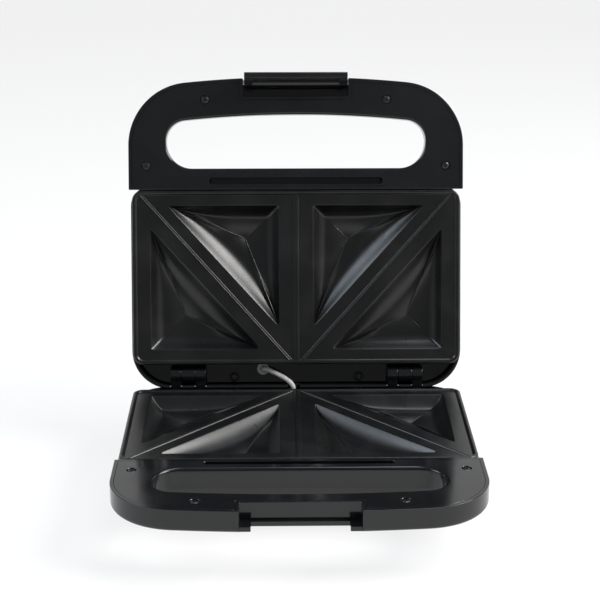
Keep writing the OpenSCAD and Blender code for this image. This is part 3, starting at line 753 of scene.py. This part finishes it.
def pocket_line(u, v):
    """The closed line round a pocket at u across and v down its wall, as x, y and drop."""
    leg = np.linspace(0.028, 0.965, side_points)
    x_leg = [wall_point("x", t, u, v) for t in leg]
    long = [wall_point("long", t, u, v) for t in np.linspace(0.03, 0.97, side_points)]
    y_leg = [wall_point("y", t, u, v) for t in leg[::-1]]
    return np.array(x_leg + rounded_corner(x_leg[-1], tip_point(tip_x, u, v), long[0])
                    + long + rounded_corner(long[-1], tip_point(tip_y, u, v), y_leg[0])
                    + y_leg + rounded_corner(y_leg[-1], wall_point("x", 0, u, v), x_leg[0]))


def floor_drop(spot):
    """How far the faceted floor lies below the land at a point in plan."""
    heights = [slope * (lowest - spot) @ inward for inward, slope in floor_sides]
    return lowest_drop - max(heights)


def floor_line(foot, share):
    """The line at a share of the way from the wall's foot to the floor's lowest point."""
    line = foot.copy()
    line[:, :2] += (lowest - line[:, :2]) * share
    for point in line:
        point[2] = point[2] * (1 - share) - floor_drop(point[:2]) * share
    return line


def in_plate(line, side, turn):
    """Pocket points to the plate: two pockets to a square, turned about its middle."""
    line = np.array(line)
    line[:, :2] = (line[:, :2] + pocket_corner) * turn + square_spot
    line[:, 0] *= side
    return line


def pocket_skin(skin, side, turn, levels, lower):
    """One pocket's wall and floor; returns its mouth."""
    foot = pocket_line(1, 1)
    lines = [pocket_line(u, v) for u, v in levels] + [floor_line(foot, s) for s in floor_shares]
    rings = []
    for line in lines:
        line = in_plate(line, side, turn)
        rings.append(skin.ring(line[:, :2], land_z - lower + line[:, 2]))
    skin.link(rings)
    bottom = in_plate([[*lowest, -lowest_drop]], side, turn)[0]
    skin.points.append((bottom[0], bottom[1], land_z - lower + bottom[2]))
    centre = len(skin.points) - 1
    last = rings[-1]
    skin.faces += [(last[k], last[(k + 1) % len(last)], centre) for k in range(len(last))]
    return rings[0]


def plate_line(distance):
    r = plate_r - distance
    return round_box(plate_half - distance, plate_front + distance, plate_rear - distance, r, r, 10, 10)


def raised_line(skin, path, profile):
    """A slim ridge along points in the plate, its profile given across and up."""
    path = np.array(path, float)
    rings = []
    for k, point in enumerate(path):
        way = path[min(k + 1, len(path) - 1)] - path[max(k - 1, 0)]
        across = np.array([-way[1], way[0]]) / math.hypot(way[0], way[1])
        line = point[:2] + np.array([w for w, _ in profile])[:, None] * across
        rings.append(skin.ring(line, point[2] + np.array([h for _, h in profile])))
    skin.link(rings)
    skin.faces += [tuple(rings[0]), tuple(rings[-1])]


def both_sides(profile):
    """A ridge's whole profile, from its edge and slope up to its middle."""
    return [(-w, h) for w, h in profile[:-1]] + profile[::-1]


floor_shares = (0.1, 0.25, 0.42, 0.6, 0.78, 0.92)
wall_levels = [(-0.085, 0), (-0.045, 0.004), (-0.012, 0.022), (0.018, 0.058), (0.05, 0.105)] + [
    (u, 1 - (1 - u) ** 1.7) for u in (0.12, 0.22, 0.34, 0.47, 0.6, 0.74, 0.87, 1.0)]
under_levels = [(-0.2, 0), (0.0, 0.2), (0.25, 0.45), (0.6, 0.82), (1.0, 1.0)]
rim_edge = [(0.0, -4.9), (0.0, -1.6), (0.2, -0.8), (0.45, -0.45), (0.8, -0.27), (1.5, top_z), (2.2, -0.3),
            (2.7, -0.55), (3.0, -0.8), (3.4, -1.25), (3.6, -1.36), (3.9, land_z)]
squares = [(side, turn) for side in (1, -1) for turn in (1, -1)]
bead = both_sides([(0.55, -0.5), (0.45, 0.02), (0.28, 0.13), (0, 0.17)])
seal_ridge = both_sides([(1.35, -0.4), (1.2, 0.0), (1.0, 0.36), (0.8, 0.55), (0.55, 0.60), (0.3, 0.42),
                         (0, 0.36)])
middle_ridge = both_sides([(2.3, -0.4), (2.15, 0.0), (1.9, 0.32), (1.6, 0.52), (1.2, 0.66), (0.6, 0.78),
                           (0, 0.82)])
seal_path = [(114.4, -56.6), (113.2, -55.3), (3.8, 66.4), (2.9, 67.4)]
post_spots = [(0, plate_front + 14), (0, plate_rear - 12), (111.2, 5), (-111.2, 5)]
crease_feet = [28, 90, 59]
crease_reach = (0.42, 0.68, 0.45)
crease_steps = 15
crease_fade = 4


def nonstick_coat(start):
    """Sprayed and baked non-stick coat: satin black, fine orange peel, a faint film of use."""
    film = speckle(start, 26, 5).between(0.40, 0.72)
    spots = speckle(start, 4.5, 3).between(0.60, 0.74)
    peel = speckle(start, 0.9, 2)
    grain = speckle(start, 0.22, 1)
    return {
        "Base Color": tint(film * 0.7 + spots * 0.3, (0.0036, 0.0037, 0.0040), (0.0082, 0.0082, 0.0084)),
        "Roughness": 0.27 + film * 0.07 + grain * 0.06 - spots * 0.05,
        "Specular IOR Level": 0.5,
        "IOR": 1.52,
        "Normal": relief(start, peel * 0.7 + grain * 0.35, 0.016),
    }


nonstick = finish_on("black_nonstick_coat", nonstick_coat)

for half in ("base", "lid"):
    skin = Skin()
    rim, land = skin.run([(plate_line(d), z) for d, z in rim_edge])
    under_edge = [(1.6, -4.9), (1.6, land_z - sheet_t - 0.6), (2.2, land_z - sheet_t)]
    lip, under = skin.run([(plate_line(d), z) for d, z in under_edge])
    skin.join(lip, rim)
    skin.close(land, *[pocket_skin(skin, *spot, wall_levels, 0) for spot in squares])
    skin.close(under, *[pocket_skin(skin, *spot, under_levels, sheet_t) for spot in squares])
    for side, turn in squares:
        for foot, reach in zip(pocket_line(1, 1)[crease_feet], crease_reach):
            way = np.arange(crease_steps + 1)
            path = [floor_line(foot[None, :], 1 - reach * k / crease_steps)[0] for k in way]
            path = in_plate(path, side, turn)
            path[:, 2] += land_z + 0.07 - 0.24 * (1 - np.minimum((crease_steps - way) / crease_fade, 1))
            raised_line(skin, path, bead)
    for side in (1, -1):
        seal = [(side * x, y, land_z) for x, y in seal_path]
        raised_line(skin, seal, seal_ridge)
    raised_line(skin, [(0, plate_front + 2.4, land_z), (0, plate_rear - 2.4, land_z)], middle_ridge)
    for x, y in post_spots:
        skin.cap(skin.run([(circle(x, y, r), z) for r, z in
                           ((1.3, -15), (1.3, -24), (2.8, -24), (3, -23.8), (3, land_z - 1))]))
    surfaced(skin.piece(half + "_cooking_plate", half), nonstick, half, half + "_plate", 30)


# The rear decks: one moulding closes each half behind its plate. The base's carries two pairs of
# hinge ears, the lid's is sunk and carries the knuckles that swing between them, and both have
# two raised screw seats and a bushed hole for the lead.
hinge_screws = [(side * 45.8, plate_rear + 10.5) for side in (-1, 1)]
lead_holes = {"base": (-2.0, 76.0), "lid": (-24.6, plate_rear + 4.6)}
deck_levels = {"base": -6.2, "lid": -15.0}
ear_spots = (66.6, 84.6)
ear_w = 7.4
knuckle_spot = 74.3
knuckle_w = 10.0
knuckle_r = 6.0
seat_up = 0.9


def along_x(name, half, x0, x1, section, edge, bore=None):
    """A bar along X: its section in y and z, its ends' edges broken, and a bore (y, z, r)."""
    ends = ((x0, edge), (x0 + 0.3 * edge, 0.3 * edge), (x0 + edge, 0), (x1 - edge, 0),
            (x1 - 0.3 * edge, 0.3 * edge), (x1, edge))
    lines = [[(x, inset(section, d)) for x, d in ends]]
    if bore:
        lines.append([(x, circle(bore[0], bore[1], bore[2] + d, 28)) for x, d in ends])
    skin = Skin()
    runs = []
    for side in lines:
        rings = [skin.ring(np.column_stack([np.full(len(line), x), line[:, 0]]), line[:, 1])
                 for x, line in side]
        skin.link(rings)
        runs.append((rings[0], rings[-1]))
    skin.cap(*runs)
    return skin.piece(name, half)


def deck_plate(name, half):
    """The flat of a deck with its two screw seats and the lead's hole."""
    z, r = deck_levels[half], 25.0
    half_w, front, rear = body_half - 3.3, plate_rear + 0.3, rear_y - 3.3
    cut = math.degrees(math.asin((front - rear + r) / r))
    front_x = half_w - r * (1 - cos_sin(cut)[0])
    plan = outline([(-front_x, front), (front_x, front)], arc(half_w - r, rear - r, r, cut, 90, 12),
                   arc(-half_w + r, rear - r, r, 90, 180 - cut, 12))
    skin = Skin()
    bottom, top = skin.run([(inset(plan, d), z + up) for d, up in
                            ((0, -shell_wall), (0, -0.35), (0.12, -0.1), (0.4, 0))])
    holes = []
    for x, y in hinge_screws:
        seat = ((3.8, 0), (3.74, 0.15), (3.7, 0.45), (3.6, 0.7), (3.45, 0.85), (3.2, seat_up),
                (1.7, seat_up), (1.7, -shell_wall))
        holes.append(skin.run([(circle(x, y, r), z + up) for r, up in seat]))
    mouth = ((3.75, 0), (3.6, -0.12), (3.5, -0.4), (3.5, -shell_wall))
    holes.append(skin.run([(circle(*lead_holes[half], r), z + up) for r, up in mouth]))
    skin.cap((top, bottom), *holes)
    return skin.piece(name, half)


base_deck = deck_plate("base_rear_deck", "base")
neck_half = 5
neck = math.degrees(math.asin(neck_half / knuckle_r))
ear = np.vstack([[(hinge_y - 5.6, -7.0), (hinge_y + 5.6, -7.0), (hinge_y + 5.1, -5.2),
                  (hinge_y + neck_half, -3)],
                 arc(hinge_y, hinge_up, knuckle_r, -90 + neck, 270 - neck, 30),
                 [(hinge_y - neck_half, -3), (hinge_y - 5.1, -5.2)]])
ears = []
for side in (-1, 1):
    for spot in ear_spots:
        x0, x1 = sorted((side * spot, side * (spot + ear_w)))
        ears.append(along_x("ear", "base", x0, x1, ear, 0.45, (hinge_y, hinge_up, 2.0)))
carve(base_deck, ears, "UNION")
surfaced(base_deck, gloss_black, "base", "base_hinge_bracket")

lid_deck = deck_plate("lid_rear_deck", "lid")
wall_y = plate_rear - 1.6
back_wall = np.array([(wall_y, -16.2), (plate_rear, -16.2), (plate_rear, rim_z), (wall_y, rim_z)])
knuckle = np.vstack([[(hinge_y - 6.2, -16.6), (hinge_y + 3.0, -16.6), (hinge_y + 2.5, -14.4)],
                     arc(hinge_y, -hinge_up, knuckle_r, -65, 204, 30), [(hinge_y - 5.5, -13.6)]])
knuckles = [along_x("wall", "lid", -body_half + 3.4, body_half - 3.4, back_wall, 0.2)]
for side in (-1, 1):
    x0, x1 = sorted((side * knuckle_spot, side * (knuckle_spot + knuckle_w)))
    knuckles.append(along_x("knuckle", "lid", x0, x1, knuckle, 0.45, (hinge_y, -hinge_up, 2.06)))
carve(lid_deck, knuckles, "UNION")
carve(lid_deck, hinge_windows(-20))
surfaced(lid_deck, gloss_black, "lid", "lid_hinge_bracket")

for half, turns in (("base", (33, 70)), ("lid", (9, 57))):
    screw_set(half, "_deck_screws", "_hinge_screws", hinge_screws, deck_levels[half] + seat_up, turns,
              1.5, 8.9)


# The hinge pins and the latch pin: bright drawn wire, cut off with a small chamfer. The hinge
# pins are pressed into the base's ears and the latch pin lies in two bosses of the lid.
def drawn_steel(start):
    """Plain drawn steel with fine lines along the pin and a few darker stains."""
    line = speckle(start, 1000 / 5200, 3, (0.05, 1.0, 1.0))
    stain = speckle(start, 3.5, 4).between(0.52, 0.70)
    return {
        "Base Color": tint(stain, (0.56, 0.57, 0.58), (0.33, 0.32, 0.31)),
        "Metallic": 1.0,
        "Roughness": 0.24 + line * 0.16 + stain * 0.15,
        "Normal": relief(start, line, 0.008),
    }


plain_steel = finish_on("drawn_steel", drawn_steel)


def pin(name, node, half, x0, x1, y, z, r):
    """A wire along X from x0 to x1."""
    length = x1 - x0
    made = turned(name, half, (x0, y, z), 0,
                  [(r - 0.35, 0), (r - 0.1, 0.12), (r, 0.4), (r, length - 0.4), (r - 0.1, length - 0.12),
                   (r - 0.35, length)], 28)
    surfaced(made, plain_steel, half, node)


for side, end in (("left", -1), ("right", 1)):
    x0, x1 = sorted((end * (ear_spots[0] + 0.2), end * (ear_spots[1] + ear_w - 0.2)))
    pin("hinge_wire_" + side, "hinge_pin_" + side, "base", x0, x1, hinge_y, hinge_up, 2.0)
pivot_y = front_y + 3
pivot_z = -8.0
pin("latch_wire", "latch_pin", "lid", -recess_half - 4.5, recess_half + 4.5, pivot_y, pivot_z, 1.5)


# The latch: one springy black moulding. A barrel turns on the pin, a bar reaches across the
# handles, and a hook at each end rides over the base's catch block and snaps under it.
latch_half = 36.8
hook_w = 6
bar_front = pivot_y - 5
bar_back = bar_front + 4.5
hook_top = 15.2
bar_end = 19.6
barrel_r = 5
junction = math.degrees(math.acos((bar_back - pivot_y) / barrel_r))
bar_section = np.vstack([
    arc(pivot_y, pivot_z, barrel_r, -180, junction, 30)[:-1],
    [(bar_back, pivot_z + barrel_r * cos_sin(junction)[1])],
    arc(bar_back - 1, bar_end - 1, 1, 0, 90, 6), arc(bar_front + 1.8, bar_end - 1.8, 1.8, 90, 180, 8)])
latch_bar = along_x("latch_bar", "lid", -latch_half, latch_half, bar_section, 0.4, (pivot_y, pivot_z, 1.56))
hook_back = bar_back + 4.6
hook_section = soften(np.array([
    (bar_front + 1, hook_top), (hook_back, hook_top), (hook_back, hook_top + 1.2),
    (bar_back + 1.0, bar_end - 0.4), (bar_front + 1, bar_end - 1.9)]), 0.5, 3)
carve(latch_bar, [along_x("hook", "lid", x, x + hook_w, hook_section, 0.35)
                  for x in (-latch_half, latch_half - hook_w)], "UNION")
surfaced(latch_bar, gloss_black, "latch", "latch")


# The lead between the halves: a wire in a braided glass-fibre sleeve. Eight flat strands wind
# each way and pass over and under each other. It leaves the base's deck, bends beside the hinge
# and goes down through the lid's deck to the connector.
lead_points = [(-2, 68, 19.7), (-2, 68.6, 23.5), (-2, 71, 27.5), (-2, 74.4, 31), (-2, 76, 35), (-2, 76, 40),
               (-2, 76, 43.6), (-2.8, 76, 47), (-5.2, 76, 50.4), (-9, 76, 53.4), (-13.5, 76.3, 56),
               (-18, 77.2, 58), (-22, 78.8, 59.2), (-24.3, 81, 58.5), (-24.6, 84.2, 57.55),
               (-24.6, 88.5, 56.4), (-24.6, 92.2, 56.4), (-24.6, 95.2, 58.1), (-24.6, 97.4, 59)]
lead_r = 1.62
strands = 8
strand_rise = 0.14
rows = np.array(smooth_levels(lead_points, 12))
lengths = np.concatenate([[0], np.cumsum(np.linalg.norm(np.diff(rows, axis=0), axis=1))])
braid_step = 0.16
stations = np.linspace(0, lengths[-1], int(lengths[-1] / braid_step) + 1)
middle = np.column_stack([np.interp(stations, lengths, rows[:, k]) for k in range(3)])
around = 64
strand_pitch = 2 * math.pi * lead_r / strands
across = np.array([1.0, 0, 0])
tube_points = []


def strand_lift(turn):
    """How high a strand stands across its width, 0 to 1, where turn counts strands."""
    return np.sqrt(np.maximum(1 - (2 * (turn % 1) - 1) ** 2 * 0.9, 0))


for k, point in enumerate(middle):
    way = middle[min(k + 1, len(middle) - 1)] - middle[max(k - 1, 0)]
    way /= np.linalg.norm(way)
    across = across - way * (across @ way)
    across /= np.linalg.norm(across)
    upward = np.cross(way, across)
    turn = np.arange(around) / around
    one = turn * strands + stations[k] / strand_pitch
    other = turn * strands - stations[k] / strand_pitch
    over = (np.floor(one) + np.floor(other)) % 2
    one_lift, other_lift = strand_lift(one), strand_lift(other)
    lift = np.where(over > 0, one_lift * (0.55 + 0.45 * other_lift), other_lift * (0.55 + 0.45 * one_lift))
    radius = (lead_r - strand_rise + 2 * strand_rise * lift)[:, None]
    angle = (turn * 2 * math.pi)[:, None]
    tube_points.append(point + radius * (np.cos(angle) * across + np.sin(angle) * upward))
lead_mesh = bpy.data.meshes.new("braided_lead")
flat = np.vstack(tube_points) * mm
last_start = (len(middle) - 1) * around
quads = [(start + i, start + (i + 1) % around, start + around + (i + 1) % around, start + around + i)
         for start in range(0, last_start, around) for i in range(around)]
ends = [tuple(range(around))[::-1], tuple(range(last_start, last_start + around))]
lead_mesh.from_pydata(flat.tolist(), [], quads + ends)


def glass_sleeve(start):
    """White glass-fibre yarn: dry, slightly silky, greyer where it is handled."""
    yarn = speckle(start, 0.18, 2)
    grime = speckle(start, 6, 4).between(0.45, 0.70)
    return {
        "Base Color": tint(grime * 0.6 + yarn * 0.4, (0.90, 0.89, 0.87), (0.66, 0.64, 0.60)),
        "Roughness": 0.55 + yarn * 0.2,
        "Specular IOR Level": 0.4,
        "Sheen Weight": 0.15,
        "Normal": relief(start, yarn, 0.05),
    }


lead_mesh.materials.append(finish_on("white_glass_sleeve", glass_sleeve))
lead_mesh.polygons.foreach_set("use_smooth", [True] * len(lead_mesh.polygons))
lead = bpy.data.objects.new("braided_lead", lead_mesh)
bpy.context.collection.objects.link(lead)
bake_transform(lead)
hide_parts("lid_lead")


# The bushes where the lead passes a deck: white silicone rubber, grooved to snap into the hole
# with a soft flange on top.
def soft_white(start):
    """White silicone: matt, a little dusty in its pores."""
    dust = speckle(start, 1.4, 4).between(0.45, 0.72)
    return {
        "Base Color": tint(dust, (0.78, 0.78, 0.76), (0.58, 0.57, 0.54)),
        "Roughness": 0.52 + dust * 0.2,
        "Specular IOR Level": 0.35,
        "Normal": relief(start, speckle(start, 0.4, 2), 0.02),
    }


silicone = finish_on("white_silicone", soft_white)
bush_profile = [(2.05, 0.75), (2.2, 0.9), (4.1, 0.9), (4.35, 0.75), (4.4, 0.5), (4.4, 0), (3.5, 0),
                (3.5, -2.4), (4.4, -2.4), (3.9, -4.4), (2.05, -4.4)]
for half in ("base", "lid"):
    bush = turned(half + "_lead_grommet", half, (*lead_holes[half], deck_levels[half]), 2, bush_profile,
                  hollow=True)
    surfaced(bush, silicone, half, half + "_lead_bush")


# The feet and the cord bush: black rubber. Each foot has a plug in the base's floor and a ring
# to stand on, and the bush lines the round hole in the rear wall where the mains cord goes in.
def matt_rubber(start):
    """Black moulded rubber with a pale bloom and fine pores."""
    bloom = speckle(start, 5, 5).between(0.42, 0.72)
    pores = speckle(start, 0.35, 2)
    return {
        "Base Color": tint(bloom, (0.016, 0.016, 0.017), (0.040, 0.040, 0.042)),
        "Roughness": 0.62 + bloom * 0.2,
        "Specular IOR Level": 0.35,
        "Normal": relief(start, pores, 0.03),
    }


rubber = finish_on("matt_black_rubber", matt_rubber)
foot_profile = [(4.4, 0.7), (5.0, 0.6), (5.5, 0.1), (5.8, 0), (7.2, 0), (7.8, 0.25), (8.15, 0.8),
                (8.5, 3.0), (8.8, 5.3), (8.7, 5.8), (8.4, 6.0), (3.0, 6.0), (2.95, 9.1), (2.6, 9.4)]
for (x, y), name in zip(foot_spots, ("front_left", "rear_left", "front_right", "rear_right")):
    foot = turned("rubber_foot_" + name, "base", (x, y, -mate_height), 2, foot_profile)
    surfaced(foot, rubber, "base", "foot_" + name)
gland_profile = [(3.6, 2.5), (3.85, 2.85), (4.4, 3.0), (6.2, 3.0), (6.9, 2.75), (8.2, 1.9), (8.6, 1.3),
                 (8.6, 0.2), (8.4, 0), (6.0, 0), (6.0, -4.5), (7.2, -4.5), (6.4, -9.0), (3.6, -9.0)]
cord_bush = turned("cord_bush", "base", (gland_spot[0], rear_y + 0.2, gland_spot[2]), 1, gland_profile,
                   hollow=True)
surfaced(cord_bush, rubber, "base", "cord_gland")


# The two lamps in the lid: domed lenses of clear coloured plastic, red for power and green for
# ready, pressed into their holes over small glass neon bulbs.
def coloured_plastic(dark, light):
    def build(start):
        """Clear coloured plastic with moulding flow and a few fine scuffs."""
        flow = speckle(start, 1.6, 3)
        scuff = speckle(start, 0.25, 4).between(0.58, 0.74)
        return {
            "Base Color": tint(flow, dark, light),
            "Roughness": 0.07 + scuff * 0.22,
            "Transmission Weight": 0.35,
            "IOR": 1.49,
            "Normal": relief(start, flow, 0.015),
        }
    return build


lens_z = -43.9
bulb_z = -40.3
dome = [(3.47 * c, -0.2 - 1.39 * s) for c, s in map(cos_sin, (0, 15, 30, 45, 60, 74, 84))]
bulb = [(1.6, 0), (2.2, 0.3), (2.4, 0.9), (2.4, 8.3), (2.2, 9.0), (1.7, 9.5), (1.0, 9.9), (0.8, 10.4),
        (0.75, 11.7), (0.5, 12.0)]


def thin_glass(start):
    """Bulb glass, slightly smoked at its ends."""
    smoke = speckle(start, 2.2, 3).between(0.4, 0.7)
    return {
        "Base Color": tint(smoke, (0.85, 0.76, 0.70), (0.60, 0.42, 0.34)),
        "Roughness": 0.05 + smoke * 0.08,
        "Transmission Weight": 0.7,
        "IOR": 1.5,
        "Normal": relief(start, smoke, 0.01),
    }


bulb_glass = finish_on("bulb_glass", thin_glass)
lens_finish = {"power": ("red_lens", finish_on("clear_red_plastic", coloured_plastic(
                   (0.42, 0.010, 0.008), (0.62, 0.020, 0.012)))),
               "ready": ("green_lens", finish_on("clear_green_plastic", coloured_plastic(
                   (0.010, 0.26, 0.06), (0.020, 0.42, 0.10))))}
for (x, y), name in zip(lens_spots, ("power", "ready")):
    slot, plastic = lens_finish[name]
    lens = turned(name + "_dome", "lid", (x, y, lens_z), 2, [(3.2, 3.4), (3.5, 3.1), (3.5, -0.1)] + dome)
    surfaced(lens, plastic, "lid", name + "_lens")
    neon = turned(name + "_bulb", "lid", (x, y, bulb_z), 2, bulb, 24)
    surfaced(neon, bulb_glass, "lid", name + "_lamp")


# The wiring blocks: white steatite with two wire bores and two clamp-screw wells, one on the
# base's floor for the cord and one in the lid that joins the lead to the element.
def steatite(start):
    """Unglazed ceramic: chalky, with fine grit and faint brown stains."""
    grit = speckle(start, 0.3, 3)
    stain = speckle(start, 7, 4).between(0.50, 0.74)
    return {
        "Base Color": tint(stain, (0.80, 0.78, 0.72), (0.60, 0.54, 0.44)),
        "Roughness": 0.66 + grit * 0.2,
        "Normal": relief(start, grit, 0.04),
    }


ceramic = finish_on("white_steatite", steatite)
block_z = -39.6
for half, node, back in (("base", "terminal_block", 14), ("lid", "splice_connector", 11)):
    x, y = lead_holes[half]
    y -= back
    skin = Skin()
    block_line = box_line(x - 12, x + 12, y - 8, y + 8, 1.2)
    skin.cap(skin.run([(inset(block_line, d), block_z + up) for d, up in
                       ((0.5, 0), (0.15, 0.15), (0, 0.5), (0, 10.5), (0.15, 10.85), (0.5, 11))]))
    block = skin.piece(half + "_wire_block", half)
    for up, axis, r, length in ((5.5, 1, 1.8, 20), (11, 2, 2.2, 6)):
        carve(block, [drill(half, (x + dx, y, block_z + up), axis, r, length) for dx in (-6, 6)])
    surfaced(block, ceramic, half, node)


# The heating parts behind each plate: a steel-sheathed tube bent to a loop, a bright pan under
# it with its four screws, a thermostat against the lid's plate and a fuse in the base.
def heated_sheath(start):
    """Steel sheath gone straw and blue from heat, with an oxide bloom."""
    band = speckle(start, 14, 3).between(0.40, 0.62)
    bloom = speckle(start, 1.8, 4).between(0.5, 0.75)
    return {
        "Base Color": tint(band, (0.34, 0.30, 0.24), (0.20, 0.21, 0.27)),
        "Metallic": 1.0,
        "Roughness": 0.36 + bloom * 0.3,
        "Normal": relief(start, bloom, 0.03),
    }


def rolled_bright(start):
    """Bright rolled aluminium with lines across the sheet and a few fingerprints."""
    lines = speckle(start, 1000 / 2600, 3, (1.0, 0.03, 1.0))
    print_mark = speckle(start, 12, 5).between(0.52, 0.66)
    return {
        "Base Color": tint(print_mark, (0.76, 0.77, 0.78), (0.62, 0.62, 0.62)),
        "Metallic": 1.0,
        "Roughness": 0.20 + lines * 0.14 + print_mark * 0.16,
        "Normal": relief(start, lines, 0.006),
    }


sheath = finish_on("heated_steel_sheath", heated_sheath)
bright_sheet = finish_on("bright_rolled_sheet", rolled_bright)
for name, half, node, centre, axis, profile in (
        ("thermostat_can", "lid", "thermostat", (0, -22, -3.4), 2,
         [(8.1, 0), (8.4, -0.3), (8.4, -1.7), (8.1, -2.0), (7.6, -2.1), (7.6, -10.4), (7.4, -10.8),
          (7.0, -11)]),
        ("fuse_barrel", "base", "thermal_fuse", (0, 12, -8), 1,
         [(0.4, -7), (0.6, -6.8), (0.6, -0.3), (1.4, 0), (2.1, 0.1), (2.4, 0.6), (2.4, 13.4), (2.1, 13.9),
          (1.4, 14), (0.6, 14.3), (0.6, 20.8), (0.4, 21)])):
    surfaced(turned(name, half, centre, axis, profile), bright_sheet, half, node)
for half in ("base", "lid"):
    for part, material in (("heating_element", sheath), ("heat_reflector", bright_sheet),
                           ("reflector_screws", plain_steel)):
        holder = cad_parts[half + "_" + part]
        holder.data.materials.clear()
        holder.data.materials.append(material)
